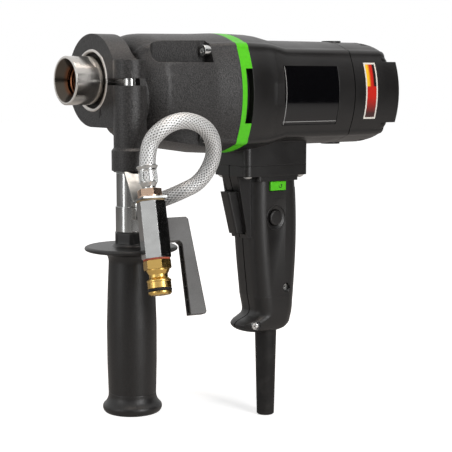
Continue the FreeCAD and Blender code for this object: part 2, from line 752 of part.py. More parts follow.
def intermediate_flange():
    """Flange between gearbox and motor, with an air slot in each side."""
    wall_inset = FLANGE_WALL
    plate = case_bar(CASE_REAR_X, CASE_REAR_X + FLANGE_BAND - 1.2)
    ring = case_bar(CASE_REAR_X, MOTOR_X).cut(case_bar(CASE_REAR_X + 1, MOTOR_X + 1, wall_inset))
    spigot = case_bar(SPIGOT_X, CASE_REAR_X + 1, SPIGOT_INSET)
    hub = cylinder_x(CASE_REAR_X, MOTOR_X - 1, ARMATURE_BEARING[1] + 3, 0, MOTOR_Z)
    body = join([plate, ring, spigot, hub])
    for side in (-1, 1):
        y0 = min(side * 28, side * 50)
        slot = box(CASE_REAR_X + FLANGE_BAND, MOTOR_X + 1, y0, y0 + 22, FLANGE_SLOT_BOTTOM, FLANGE_SLOT_TOP)
        body = body.cut(slot)
    holes = [
        cylinder_x(CASE_REAR_X + 1, MOTOR_X, ARMATURE_BEARING[1], 0, MOTOR_Z),
        cylinder_x(SPIGOT_X - 1, MOTOR_X, ARMATURE_BEARING[0] + 1.5, 0, MOTOR_Z),
        cylinder_x(SPIGOT_X - 1, SPIGOT_X + 1 + LAY_BEARING[2], LAY_BEARING[1], 0, LAY_Z),
        screw_bore(SPIGOT_X - 1, MOTOR_X + 1),
    ]
    for hole in holes:
        body = body.cut(hole)
    return body


# Motor

def armature_shaft():
    """Armature shaft with the motor pinion cut on its front end."""
    end = CAP_BEARING_X + ARMATURE_BEARING[2] + 1
    shaft = cylinder_x(LAY_GEAR_X - 0.5, end, ARMATURE_BEARING[0], 0, MOTOR_Z)
    pinion_end = LAY_GEAR_X + LAY_GEAR_WIDTH + PINION_OVERHANG
    pinion = gear(ARMATURE_TEETH, LAY_GEAR_X - 0.5, pinion_end, MOTOR_Z, -90 + 180 / ARMATURE_TEETH)
    neck = tube_x(LAY_GEAR_X - 1, pinion_end, 20, GEAR_MODULE * ARMATURE_TEETH / 2 + TOOTH_TIP, 0, MOTOR_Z)
    lead = cylinder_x(pinion_end, end, ARMATURE_BEARING[0], 0, MOTOR_Z)
    return join([lead, pinion.cut(neck), shaft.common(lead)])


def armature_core():
    """Laminated armature core with twelve slots."""
    x1 = STATOR_X + STATOR_LENGTH
    body = tube_x(STATOR_X, x1, ARMATURE_R, ARMATURE_BEARING[0] + 0.01, 0, MOTOR_Z)
    for k in range(12):
        angle = math.radians(30 * k + 15)
        y = (ARMATURE_R - 1) * math.cos(angle)
        z = MOTOR_Z + (ARMATURE_R - 1) * math.sin(angle)
        body = body.cut(cylinder_x(STATOR_X - 1, x1 + 1, 1.6, y, z))
    return body


def armature_windings():
    """End turns of the armature winding, one bundle at each end of the core."""
    bore = ARMATURE_BEARING[0] + 0.01
    front = tube_x(STATOR_X - COIL_LENGTH, STATOR_X, COIL_R, bore, 0, MOTOR_Z)
    x1 = STATOR_X + STATOR_LENGTH
    rear = tube_x(x1, x1 + COIL_LENGTH, COIL_R, bore, 0, MOTOR_Z)
    return group([front, rear])


def commutator():
    """Commutator with its bar gaps cut in."""
    x1 = COMMUTATOR_X + COMMUTATOR_LENGTH
    body = tube_x(COMMUTATOR_X, x1, COMMUTATOR_R, ARMATURE_BEARING[0] + 0.01, 0, MOTOR_Z)
    for k in range(12):
        cutter = box(COMMUTATOR_X + 1, x1 + 1, -0.3, 0.3, COMMUTATOR_R - 1.2, COMMUTATOR_R + 1)
        cutter.rotate(Vector(0, 0, 0), Vector(1, 0, 0), 30 * k)
        cutter.translate(Vector(0, 0, MOTOR_Z))
        body = body.cut(cutter)
    return body


def cooling_fan():
    """Radial fan: a back plate, a hub and straight blades."""
    x0 = MOTOR_X + 3
    x1 = x0 + FAN_WIDTH
    bore = ARMATURE_BEARING[0] + 0.01
    plate = cylinder_x(x1 - 2, x1, FAN_R, 0, MOTOR_Z)
    hub = cylinder_x(x0, x1, 9, 0, MOTOR_Z)
    blades = []
    for k in range(FAN_BLADES):
        blade = box(x0, x1 - 1, -0.9, 0.9, 8, FAN_R - 1)
        blade.rotate(Vector(0, 0, 0), Vector(1, 0, 0), k * 360 / FAN_BLADES)
        blade.translate(Vector(0, 0, MOTOR_Z))
        blades.append(blade)
    return join([plate, hub] + blades).cut(cylinder_x(x0 - 1, x1 + 1, bore, 0, MOTOR_Z))


def armature_bearing_front():
    """Armature bearing in the intermediate flange."""
    return ball_bearing(ARMATURE_BEARING, CASE_REAR_X + 1.1, MOTOR_Z)


def armature_bearing_rear():
    """Armature bearing in the rear cap."""
    return ball_bearing(ARMATURE_BEARING, CAP_BEARING_X, MOTOR_Z)


def stator_core():
    """Stator core: a ring with four winding slots."""
    x1 = STATOR_X + STATOR_LENGTH
    body = tube_x(STATOR_X, x1, STATOR_R, STATOR_BORE_R, 0, MOTOR_Z)
    for slot in stator_slots(STATOR_X - 1, x1 + 1, 3.6):
        body = body.cut(slot)
    return body


def stator_slots(x0, x1, radius):
    """Four round bars where the field winding runs through the stator."""
    bars = []
    for angle in (40, 140, 220, 320):
        y = 28 * math.cos(math.radians(angle))
        z = MOTOR_Z + 28 * math.sin(math.radians(angle))
        bars.append(cylinder_x(x0, x1, radius, y, z))
    return bars


def field_windings():
    """Upper and lower field coils: two straight sides and two curved ends each."""
    x0 = STATOR_X - COIL_LENGTH
    x1 = STATOR_X + STATOR_LENGTH + COIL_LENGTH
    bars = stator_slots(STATOR_X - 1, STATOR_X + STATOR_LENGTH + 1, 3.4)
    coils = []
    for side, pair in ((1, bars[:2]), (-1, bars[2:])):
        ends = []
        for end_x in (x0, x1 - COIL_LENGTH + 0.2):
            arc = tube_x(end_x, end_x + COIL_LENGTH - 0.2, 32, 24, 0, MOTOR_Z)
            reach = 28 * math.sin(math.radians(40)) - 4
            low = MOTOR_Z + reach if side > 0 else MOTOR_Z - 40
            ends.append(arc.common(box(end_x - 1, end_x + COIL_LENGTH + 1, -40, 40, low, low + 40 - reach)))
        coils.append(join(pair + ends))
    return group(coils)


def cap_screw_bosses(x0, x1, half):
    """Four bosses inside the corners that take the rear cap's screws."""
    boss = cylinder_x(x0, x1, 4.2, CAP_SCREW_OFFSET, MOTOR_Z + CAP_SCREW_OFFSET)
    inside = bowed_bar(x0, x1, half - 0.6, MOTOR_BULGE)
    return [b.common(inside) for b in four_corners(boss)]


def motor_block():
    """Block under the motor housing that the handle bolts to."""
    top = MOTOR_Z - MOTOR_HALF + 6
    block = box(BLOCK_FRONT, BLOCK_REAR, -BLOCK_HALF, BLOCK_HALF, BLOCK_BOTTOM, top)
    upright = [e for e in block.Edges if abs(e.BoundBox.ZLength - (top - BLOCK_BOTTOM)) < 0.01]
    return block.makeFillet(BLOCK_CORNER, upright)


def handle_screw_places():
    """The four flange screws: two at the front corners and two at the rear."""
    for x in (BLOCK_FRONT + HANDLE_SCREW_X, BLOCK_REAR - HANDLE_SCREW_X):
        for y in (-HANDLE_SCREW_Y, HANDLE_SCREW_Y):
            yield x, y


def motor_outer():
    """Outside of the motor housing: a collar as large as the flange, then the slimmer body."""
    slope_x = MOTOR_X + MOTOR_COLLAR
    body_x = slope_x + MOTOR_SLOPE
    sections = [
        (MOTOR_X, CASE_HALF, CASE_HALF, CASE_BULGE),
        (slope_x, CASE_HALF - 0.5, CASE_HALF - 0.5, CASE_BULGE),
        (body_x, MOTOR_HALF, CASE_HALF - 1.2, MOTOR_BULGE),
        (body_x + 2 * MOTOR_SLOPE, MOTOR_HALF, MOTOR_HALF, MOTOR_BULGE),
        (CAP_X, MOTOR_HALF, MOTOR_HALF, MOTOR_BULGE),
    ]
    wires = []
    for x, half_y, half_z, bulge in sections:
        wires.append(bowed_wire(x, half_y, MOTOR_Z - half_z, MOTOR_Z + half_z, bulge, CASE_CORNER))
    return Part.makeLoft(wires, True, True)


def side_band(x0, x1, z0, z1, half, depth):
    """Thin curved plate lying along both sides of the motor, from half inwards by depth."""
    skin = bowed_bar(x0, x1, half, MOTOR_BULGE).cut(bowed_bar(x0 - 1, x1 + 1, half - depth, MOTOR_BULGE))
    plates = []
    for side in (-1, 1):
        y0 = min(side * 20, side * 60)
        plates.append(skin.common(box(x0, x1, y0, y0 + 40, z0, z1)))
    return plates


def motor_housing():
    """Motor housing with the block for the handle, air spigot, label recesses and screw bosses."""
    spigot = case_bar(CASE_REAR_X + FLANGE_BAND - 1, MOTOR_X + 1, FLANGE_WALL + 0.1)
    outer = join([spigot, motor_outer(), motor_block()])
    inner_half = MOTOR_HALF - MOTOR_WALL
    step_x = MOTOR_X + MOTOR_COLLAR
    hollow_front = bowed_bar(CASE_REAR_X, step_x, CASE_HALF - FLANGE_WALL - 3, CASE_BULGE)
    hollow_rear = bowed_bar(step_x - 1, CAP_X + 1, inner_half, MOTOR_BULGE)
    body = outer.cut(hollow_front).cut(hollow_rear)
    duct_top = MOTOR_Z - MOTOR_HALF + 12
    duct_half = BLOCK_HALF - 2 * BLOCK_WALL
    duct = box(BLOCK_FRONT + 12, BLOCK_REAR - 12, -duct_half, duct_half, BLOCK_BOTTOM - 1, duct_top)
    body = body.cut(duct.cut(cylinder_x(STATOR_X, CAP_X, STATOR_R + 1, 0, MOTOR_Z)))
    for x, y in handle_screw_places():
        body = body.cut(cylinder_z(BLOCK_BOTTOM - 1, BLOCK_BOTTOM + 9, HANDLE_SCREW_R + SEAT_GAP, x, y))
    body = body.cut(screw_bore(CASE_REAR_X, MOTOR_X + SCREW_GRIP + 1))
    label_x = MOTOR_X + LABEL_FRONT
    recess = side_band(label_x - 0.1, label_x + LABEL_LENGTH + 0.1, LABEL_BOTTOM - 0.1, LABEL_TOP + 0.1,
                       MOTOR_HALF + 2, 2 + LABEL_SUNK + LABEL_DEPTH)
    for cutter in recess:
        body = body.cut(cutter)
    bosses = cap_screw_bosses(CAP_X - 14, CAP_X, MOTOR_HALF)
    body = join([body] + bosses)
    hole = cylinder_x(CAP_X - 12, CAP_X + 1, CAP_SCREW_R + SEAT_GAP,
                      CAP_SCREW_OFFSET, MOTOR_Z + CAP_SCREW_OFFSET)
    for cutter in four_corners(hole):
        body = body.cut(cutter)
    return body


def label_plates():
    """Plain curved plates set into both sides of the motor housing."""
    label_x = MOTOR_X + LABEL_FRONT
    return group(side_band(label_x, label_x + LABEL_LENGTH, LABEL_BOTTOM, LABEL_TOP,
                           MOTOR_HALF - LABEL_SUNK, LABEL_DEPTH))


def side_sticker():
    """Plain sticker on the valve side of the rear cap."""
    x0 = CAP_X + STICKER_FRONT
    skin = side_band(x0, x0 + STICKER_LENGTH, STICKER_BOTTOM, STICKER_TOP,
                     CAP_HALF + STICKER_THICKNESS, STICKER_THICKNESS)
    return skin[0]


def brush_pair(shape):
    """A shape above the motor axis and its copy below it."""
    return [shape, shape.mirror(Vector(0, 0, MOTOR_Z), Vector(0, 0, 1))]


def brush_holders():
    """Brass brush tubes above and below the commutator."""
    z0 = MOTOR_Z + COMMUTATOR_R + 3
    z1 = MOTOR_Z + CAP_HALF - 3
    tube = cylinder_z(z0, z1, BRUSH_HOLDER_R, BRUSH_X, 0)
    half_w = BRUSH_WIDTH / 2 + SEAT_GAP
    half_t = BRUSH_THICKNESS / 2 + SEAT_GAP
    slot = box(BRUSH_X - half_w, BRUSH_X + half_w, -half_t, half_t, z0 - 1, z1 + 1)
    return group(brush_pair(tube.cut(slot)))


def carbon_brushes():
    """Carbon brushes that ride on the commutator."""
    z0 = MOTOR_Z + COMMUTATOR_R + 0.2
    half_w = BRUSH_WIDTH / 2
    half_t = BRUSH_THICKNESS / 2
    brush = box(BRUSH_X - half_w, BRUSH_X + half_w, -half_t, half_t, z0, z0 + 17)
    return group(brush_pair(brush))


def brush_caps():
    """Slotted screw caps over the brushes, at the top and bottom of the rear cap."""
    z1 = MOTOR_Z + CAP_HALF + BRUSH_CAP_PROUD
    z0 = MOTOR_Z + CAP_HALF - 2.95
    cap = cylinder_z(z0, z1, BRUSH_CAP_R, BRUSH_X, 0)
    slot = box(BRUSH_X - 5, BRUSH_X + 5, -0.7, 0.7, z1 - 1, z1 + 1)
    return group(brush_pair(cap.cut(slot)))


def cap_outer():
    """Outside of the rear cap: square body, rounded rear, and a tongue across the middle."""
    side_x = CAP_X + CAP_SIDE
    core_x = CAP_X + CAP_CORE
    sections = [
        (CAP_X, CAP_HALF),
        (side_x, CAP_HALF),
        (side_x + 5, CAP_HALF - 0.8),
        (side_x + 9, CAP_HALF - 2.8),
        (core_x, CAP_HALF - 6.5),
    ]
    wires = []
    for x, half in sections:
        wires.append(bowed_wire(x, half, MOTOR_Z - half, MOTOR_Z + half, MOTOR_BULGE, CASE_CORNER))
    core = Part.makeLoft(wires, True, True)
    corner = box(side_x, core_x + 1, CAP_CORNER_CUT, CAP_HALF + 2, CAP_TONGUE_TOP, MOTOR_Z + CAP_HALF + 2)
    low = box(side_x, core_x + 1, CAP_CORNER_CUT, CAP_HALF + 2, MOTOR_Z - CAP_HALF - 2, CAP_TONGUE_BOTTOM)
    inner = bowed_bar(side_x - 1, core_x - 2, CAP_HALF - 4.8, MOTOR_BULGE)
    for cutter in (corner, low):
        cutter = cutter.cut(inner)
        core = core.cut(cutter).cut(mirrored(cutter))
    band = bowed_bar(CAP_X + 1, CAP_X + CAP_TONGUE, CAP_HALF, MOTOR_BULGE)
    tongue = band.common(box(CAP_X, CAP_X + CAP_TONGUE + 1, -50, 50, CAP_TONGUE_BOTTOM, CAP_TONGUE_TOP))
    return join([core, tongue])


def rear_cap():
    """Rear cap with brush bosses, the rear bearing's spider and air slots."""
    inner = bowed_bar(CAP_X - 1, CAP_X + CAP_CORE - CAP_WALL, CAP_HALF - CAP_WALL - 3, MOTOR_BULGE)
    body = cap_outer().cut(inner)
    inner_half = CAP_HALF - CAP_WALL - 3
    spider = bowed_bar(CAP_BEARING_X - 1, CAP_BEARING_X + 5, inner_half + 0.5, MOTOR_BULGE)
    for angle in (0, 90, 180, 270):
        y = 24 * math.cos(math.radians(angle))
        z = MOTOR_Z + 24 * math.sin(math.radians(angle))
        spider = spider.cut(cylinder_x(CAP_BEARING_X - 3, CAP_BEARING_X + 7, 8.5, y, z))
    hub_r = ARMATURE_BEARING[1] + 3
    hub = cylinder_x(CAP_BEARING_X - 1, CAP_BEARING_X + ARMATURE_BEARING[2] + 3, hub_r, 0, MOTOR_Z)
    holder_boss = cylinder_z(MOTOR_Z + 22, MOTOR_Z + CAP_HALF - 2, BRUSH_HOLDER_R + 2.5, BRUSH_X, 0)
    parts = [body, spider, hub] + brush_pair(holder_boss)
    parts += cap_screw_bosses(CAP_X, CAP_X + CAP_SIDE - 2, CAP_HALF)
    body = join(parts)
    cutters = [
        cylinder_x(CAP_BEARING_X, CAP_BEARING_X + ARMATURE_BEARING[2] + 4, ARMATURE_BEARING[1], 0, MOTOR_Z),
        cylinder_x(CAP_BEARING_X - 2, CAP_BEARING_X + 1, ARMATURE_BEARING[1] - 2, 0, MOTOR_Z),
    ]
    holder_r = BRUSH_HOLDER_R + SEAT_GAP
    cutters += brush_pair(cylinder_z(MOTOR_Z + 20, MOTOR_Z + CAP_HALF + 1, holder_r, BRUSH_X, 0))
    seat_z = MOTOR_Z + CAP_HALF - 3
    cutters += brush_pair(cylinder_z(seat_z, MOTOR_Z + CAP_HALF + 2, BRUSH_CAP_R + SEAT_GAP, BRUSH_X, 0))
    screw_hole = cylinder_x(CAP_X - 1, CAP_X + CAP_SIDE + 9, CAP_SCREW_R + SEAT_GAP,
                            CAP_SCREW_OFFSET, MOTOR_Z + CAP_SCREW_OFFSET)
    cutters += four_corners(screw_hole)
    head_hole = cylinder_x(CAP_X + CAP_SIDE - 2, CAP_X + CAP_CORE + 2, CAP_SCREW_HEAD_R + 0.3,
                           CAP_SCREW_OFFSET, MOTOR_Z + CAP_SCREW_OFFSET)
    cutters += four_corners(head_hole)
    cutters += air_slots()
    for cutter in cutters:
        body = body.cut(cutter)
    return body


def air_slots():
    """Air slots through the top, bottom and rear wall of the cap."""
    slots = []
    rear_x = CAP_X + CAP_TONGUE
    for k in range(5):
        y = -16 + 8 * k
        slot = box(CAP_X + CAP_SIDE - 6, CAP_X + CAP_SIDE + 4, y - 1.6, y + 1.6, 26, 45)
        slots.append(slot.translated(Vector(0, 0, MOTOR_Z)))
        slots.append(slot.translated(Vector(0, 0, MOTOR_Z - 26 - 45)))
    for k in range(6):
        z = CAP_TONGUE_BOTTOM + 6.5 + 6.8 * k
        slots.append(box(rear_x - 12, rear_x + 1, -22, 22, z - 1.5, z + 1.5))
    return slots


def rear_cap_screws():
    """Four screws through the rear cap into the motor housing."""
    y = CAP_SCREW_OFFSET
    z = MOTOR_Z + CAP_SCREW_OFFSET
    head_x = CAP_X + CAP_SIDE - 2
    shank = cylinder_x(CAP_X - 10, head_x + 0.5, CAP_SCREW_R, y, z)
    head = cylinder_x(head_x, head_x + 2.6, CAP_SCREW_HEAD_R, y, z)
    slot = box(head_x + 1.6, head_x + 3, y - 0.5, y + 0.5, z - 5, z + 5)
    return group(four_corners(join([shank, head]).cut(slot)))


# Pistol handle

def rounded_wire(x0, x1, half, corner, z):
    """Level rectangle with round corners, symmetric about Y = 0."""
    lean = corner * (1 - math.cos(math.pi / 4))

    def at(x, y):
        return Vector(x, y, z)

    edges = [
        Part.LineSegment(at(x0 + corner, -half), at(x1 - corner, -half)),
        Part.Arc(at(x1 - corner, -half), at(x1 - lean, lean - half), at(x1, corner - half)),
        Part.LineSegment(at(x1, corner - half), at(x1, half - corner)),
        Part.Arc(at(x1, half - corner), at(x1 - lean, half - lean), at(x1 - corner, half)),
        Part.LineSegment(at(x1 - corner, half), at(x0 + corner, half)),
        Part.Arc(at(x0 + corner, half), at(x0 + lean, half - lean), at(x0, half - corner)),
        Part.LineSegment(at(x0, half - corner), at(x0, corner - half)),
        Part.Arc(at(x0, corner - half), at(x0 + lean, lean - half), at(x0 + corner, -half)),
    ]
    return Part.Wire([edge.toShape() for edge in edges])


def handle_bar(inset):
    """Grip of the pistol handle, a smooth loft of rounded rectangles drawn in by inset."""
    sections = [
        (HANDLE_TOP + 2, HANDLE_FRONT, HANDLE_REAR),
        (-100.0, HANDLE_FRONT + 0.3, HANDLE_REAR + 2),
        (-135.0, HANDLE_FRONT + 2.5, HANDLE_REAR + 1.5),
        (-165.0, HANDLE_FRONT + 5.8, HANDLE_REAR - 0.7),
        (-182.0, HANDLE_FRONT + 7.0, HANDLE_REAR - 2.0),
    ]
    wires = []
    for z, x0, x1 in sections:
        wires.append(rounded_wire(x0 + inset, x1 - inset, HANDLE_HALF - inset, 11.0 - inset, z))
    return Part.makeLoft(wires, True, False)


def handle_foot():
    """Flared foot with its toe pointing forwards."""
    bottom = HANDLE_BOTTOM
    outline = [
        (HANDLE_FRONT + 5.5, -168),
        (HANDLE_FRONT, -177),
        (HANDLE_FRONT - 9.0, -181.5),
        (HANDLE_FRONT - 11.0, -184.5),
        (HANDLE_FRONT - 6.0, bottom + 0.2),
        (HANDLE_FRONT + 0.5, bottom - 1.5),
        (HANDLE_REAR - 8.0, bottom + 1.0),
        (HANDLE_REAR - 3.0, -183.5),
        (HANDLE_REAR - 1.0, -168),
    ]
    foot = prism_y(outline, FOOT_HALF)
    rim = [e for e in foot.Edges if abs(abs(e.BoundBox.YMin) - FOOT_HALF) < 0.01 and e.BoundBox.YLength < 0.01]
    return foot.makeFillet(3.0, rim)


def handle_flange():
    """Flange that seats on the motor's block, with a thicker middle under it."""
    top = box(BLOCK_FRONT, BLOCK_REAR, -BLOCK_HALF, BLOCK_HALF, HANDLE_TOP, BLOCK_BOTTOM - 0.1)
    upright = [e for e in top.Edges if e.BoundBox.ZLength > 1]
    top = top.makeFillet(BLOCK_CORNER, upright)
    step_half = BLOCK_HALF - 1.5
    step = box(BLOCK_FRONT + 13, BLOCK_REAR - 9, -step_half, step_half, FLANGE_UNDERSIDE, HANDLE_TOP + 1)
    upright = [e for e in step.Edges if e.BoundBox.ZLength > 1]
    step = step.makeFillet(2.0, upright)
    ramp = prism_y([
        (BLOCK_FRONT, HANDLE_TOP + 0.5),
        (BLOCK_FRONT + 3.5, TRIGGER_TOP + SLIDE_GAP),
        (HANDLE_FRONT + 1, TRIGGER_TOP + SLIDE_GAP),
        (HANDLE_FRONT + 1, HANDLE_TOP + 0.5),
    ], CHEEK_HALF - 0.5)
    return join([top, step, ramp])


def handle_cheeks():
    """Thin sloping guards on both sides of the trigger, joined under it."""
    outline = [
        (CHEEK_FRONT, HANDLE_TOP + 0.5),
        (CHEEK_BACK, HANDLE_TOP + 0.5),
        (CHEEK_BACK, CHEEK_BOTTOM),
        (CHEEK_LOW_FRONT, CHEEK_BOTTOM),
    ]
    between = CHEEK_HALF - CHEEK_THICKNESS
    slot = box(CHEEK_FRONT - 1, CHEEK_BACK + 1, -between, between, TRIGGER_BOTTOM - SLIDE_GAP, HANDLE_TOP + 1)
    return prism_y(outline, CHEEK_HALF).cut(slot)


def handle_body():
    """Whole handle before it is split into its two shells."""
    outer = join([handle_bar(0.0), handle_foot(), handle_flange(), handle_cheeks()])
    hollow = handle_bar(HANDLE_WALL)
    floor_z = HANDLE_BOTTOM + 4.5
    well = box(SLEEVE_X - 11.5, SLEEVE_X + 11.5, -11.5, 11.5, floor_z, -170)
    neck = box(HANDLE_FRONT + 5, HANDLE_REAR - 5, 4 - HANDLE_HALF, HANDLE_HALF - 4,
               HANDLE_TOP - 9, BLOCK_BOTTOM + 1)
    slide = SLIDE_GAP
    mouth_half = TRIGGER_HALF + slide
    mouth = box(CHEEK_FRONT - 5, HANDLE_FRONT + 8, -mouth_half, mouth_half,
                TRIGGER_BOTTOM - slide, TRIGGER_TOP + slide)
    window = box(SLIDER_FRONT - slide, SLIDER_REAR + slide + 0.8, -HANDLE_HALF - 3, HANDLE_HALF + 3,
                 SLIDER_BOTTOM - slide, SLIDER_TOP + slide)
    dish = Part.makeSphere(22.0, Vector(BUTTON_X, -HANDLE_HALF - 22.0 + 2.1, BUTTON_Z))
    button_hole = cylinder_y(-HANDLE_HALF - 1, -HANDLE_HALF + 8, BUTTON_R + slide, BUTTON_X, BUTTON_Z)
    sleeve_hole = cylinder_z(HANDLE_BOTTOM - 5, floor_z + 1, SLEEVE_TOP_R + SEAT_GAP, SLEEVE_X, 0)
    body = outer
    for cutter in (hollow, well, neck, mouth, window, dish, button_hole, sleeve_hole):
        body = body.cut(cutter)
    for x, y in handle_screw_places():
        body = body.cut(cylinder_z(HANDLE_TOP - 1, BLOCK_BOTTOM + 1, HANDLE_SCREW_R + SEAT_GAP, x, y))
        body = body.cut(cylinder_z(HANDLE_TOP - 10, HANDLE_TOP, HANDLE_SCREW_HEAD_R + 0.5, x, y))
    for x, z in shell_screw_places():
        body = join([body, shell_screw_boss(x, z)])
        body = body.cut(shell_screw_hole(x, z))
    return body


def shell_screw_places():
    """Screws that hold the two shells together, in (x, z)."""
    return [(180.0, -157.0), (152.5, -184.6)]


def shell_screw_boss(x, z):
    """Boss inside the handle round one shell screw."""
    reach = HANDLE_HALF - HANDLE_WALL + 0.2
    return cylinder_y(-reach, reach, SHELL_BOSS_R, x, z)


def shell_screw_hole(x, z):
    """Bore of one shell screw with its head recess on the valve side."""
    shank = cylinder_y(-HANDLE_HALF - 1, HANDLE_HALF - 5, 1.5 + SEAT_GAP, x, z)
    recess = cylinder_y(-HANDLE_HALF - 5, -HANDLE_HALF + 5.2, 3.4, x, z)
    return shank.fuse(recess)


def handle_shell(side):
    """One half of the handle, cut at the seam."""
    y0 = SEAM_GAP if side > 0 else -60
    half_space = box(100, 230, y0, y0 + 60 - SEAM_GAP, -230, -50)
    return handle_body().common(half_space)


def handle_shell_left():
    """Handle shell on the valve side."""
    return handle_shell(-1)


def handle_shell_right():
    """Handle shell on the far side."""
    return handle_shell(1)


def handle_shell_screws():
    """Screws through the seam of the handle."""
    screws = []
    for x, z in shell_screw_places():
        head_y = -HANDLE_HALF + 5.2
        head = cylinder_y(head_y - 2, head_y, 3.0, x, z)
        shank = cylinder_y(head_y - 0.5, HANDLE_HALF - 6, 1.5, x, z)
        cross = box(x - 1.8, x + 1.8, head_y - 3, head_y - 1.2, z - 0.4, z + 0.4)
        cross = cross.fuse(box(x - 0.4, x + 0.4, head_y - 3, head_y - 1.2, z - 1.8, z + 1.8))
        screws.append(join([head, shank]).cut(cross))
    return group(screws)


def handle_flange_screws():
    """Domed screws that hold the handle's flange to the motor block."""
    screws = []
    for x, y in handle_screw_places():
        shank = cylinder_z(HANDLE_TOP - 0.5, BLOCK_BOTTOM + 8, HANDLE_SCREW_R, x, y)
        rise = HANDLE_SCREW_HEAD
        ball_r = (HANDLE_SCREW_HEAD_R ** 2 + rise ** 2) / (2 * rise)
        ball = Part.makeSphere(ball_r, Vector(x, y, HANDLE_TOP - rise + ball_r))
        head = ball.common(cylinder_z(HANDLE_TOP - rise - 1, HANDLE_TOP, HANDLE_SCREW_HEAD_R, x, y))
        screws.append(join([shank, head]))
    return group(screws)


def trigger():
    """Trigger: a narrow sloping pad on a wider base with a plunger."""
    z0 = TRIGGER_BOTTOM
    z1 = TRIGGER_TOP
    top_x = TRIGGER_FRONT_TOP
    low_x = TRIGGER_FRONT_BOTTOM
    back = TRIGGER_PAD
    pad = prism_y([(top_x, z1), (top_x + back + 1, z1), (low_x + back + 1, z0), (low_x, z0)], TRIGGER_PAD_HALF)
    front = [e for e in pad.Edges if abs(abs(e.BoundBox.YMin) - TRIGGER_PAD_HALF) < 0.01
             and e.BoundBox.XMax < low_x + 0.1 and e.BoundBox.ZLength > 1]
    pad = pad.makeFillet(1.6, front)
    base = prism_y([
        (top_x + back, z1),
        (top_x + TRIGGER_BASE, z1),
        (low_x + TRIGGER_BASE, z0),
        (low_x + back, z0),
    ], TRIGGER_HALF)
    middle_z = (z0 + z1) / 2
    reach = SWITCH_FRONT - TRIGGER_TRAVEL - 0.5
    plunger = box((top_x + low_x) / 2 + back + 1, reach, -3, 3, middle_z - 3, middle_z + 3)
    return join([pad, base, plunger])


def trigger_switch():
    """Switch body inside the handle, worked by the trigger's plunger."""
    return box(SWITCH_FRONT, SWITCH_REAR, -SWITCH_HALF, SWITCH_HALF, SWITCH_BOTTOM, SWITCH_TOP)


def lock_button():
    """Lock button in its dished recess."""
    outer_y = -HANDLE_HALF - BUTTON_PROUD
    inner_y = -SWITCH_HALF - BUTTON_TRAVEL - 0.3
    body = cylinder_y(outer_y, inner_y, BUTTON_R, BUTTON_X, BUTTON_Z)
    rim = [e for e in body.Edges if abs(e.BoundBox.YMax - outer_y) < 0.01]
    return body.makeFillet(1.2, rim)


def direction_slider():
    """Direction slider, a cross bolt through both shells."""
    reach = HANDLE_HALF + SLIDER_PROUD
    bar = box(SLIDER_FRONT, SLIDER_REAR, -reach, reach, SLIDER_BOTTOM, SLIDER_TOP)
    ends = [e for e in bar.Edges if abs(abs(e.BoundBox.YMin) - reach) < 0.01 and e.BoundBox.YLength < 0.01]
    return bar.makeFillet(0.6, ends)


def cable_clamp():
    """Bridge over the cable just above the sleeve."""
    z0 = HANDLE_BOTTOM + 4.5 + SLEEVE_HEAD + 0.1
    bridge = box(SLEEVE_X - 9, SLEEVE_X + 9, -10, 10, z0, z0 + CLAMP_PLATE)
    return bridge.cut(cylinder_z(z0 - 1, z0 + CLAMP_PLATE + 1, SLEEVE_BORE_R, SLEEVE_X, 0))


def cable_sleeve():
    """Tapered rubber sleeve that guards the cable, with a head trapped in the handle."""
    floor_z = HANDLE_BOTTOM + 4.5
    return turned_z([
        (SLEEVE_BORE_R, SLEEVE_END),
        (SLEEVE_END_R - 0.8, SLEEVE_END),
        (SLEEVE_END_R, SLEEVE_END + 0.8),
        (SLEEVE_TOP_R, HANDLE_BOTTOM - 2),
        (SLEEVE_TOP_R, floor_z + 0.05),
        (SLEEVE_HEAD_R, floor_z + 0.05),
        (SLEEVE_HEAD_R, floor_z + SLEEVE_HEAD),
        (SLEEVE_BORE_R, floor_z + SLEEVE_HEAD),
    ], SLEEVE_X, 0)


# Side handle

def clamp_ring():
    """Clamp ring with a slit, an upper ear and a long boss below, bored for the clamp bolt."""
    x0 = RING_X
    x1 = RING_X + RING_WIDTH
    ring = cylinder_x(x0, x1, RING_R)
    upper = join([
        cylinder_z(SLIT_BOTTOM, EAR_TOP, EAR_R, EAR_X, EAR_Y),
        box(x0, x1, EAR_Y, -COLLAR_R, SLIT_BOTTOM, EAR_TOP),
    ])
    boss = cylinder_z(FOOT_BOTTOM, SLIT_BOTTOM + 1, EAR_R, EAR_X, EAR_Y)
    cone = Part.makeCone(FOOT_R, EAR_R, BOSS_BOTTOM - BOSS_FOOT, Vector(EAR_X, EAR_Y, BOSS_FOOT))
    foot = cylinder_z(FOOT_BOTTOM, BOSS_FOOT, FOOT_R, EAR_X, EAR_Y)
    web = box(x0, x1, EAR_Y, 0, -RING_R, 0)
    body = join([ring, web, upper, boss, cone, foot])
    body = body.cut(cylinder_x(x0 - 1, x1 + 1, COLLAR_R + RUN_GAP))
    body = body.cut(box(x0 - 20, x1 + 20, EAR_Y - 20, -COLLAR_R + 2, SLIT_BOTTOM, SLIT_TOP))
    return body.cut(cylinder_z(FOOT_BOTTOM - 1, EAR_TOP - 3, CLAMP_BOLT_R + SEAT_GAP, EAR_X, EAR_Y))


def clamp_bolt():
    """Long bolt that draws the ears together and carries the tube, nut and grip."""
    return cylinder_z(BOLT_END, EAR_TOP - 3.5, CLAMP_BOLT_R, EAR_X, EAR_Y)


def spacer_tube():
    """Bright tube between the bracket and the clamp nut."""
    top = FOOT_BOTTOM - BRACKET_THICKNESS - 0.1
    return tube_z(TUBE_BOTTOM, top, TUBE_R, CLAMP_BOLT_R + SEAT_GAP, EAR_X, EAR_Y)


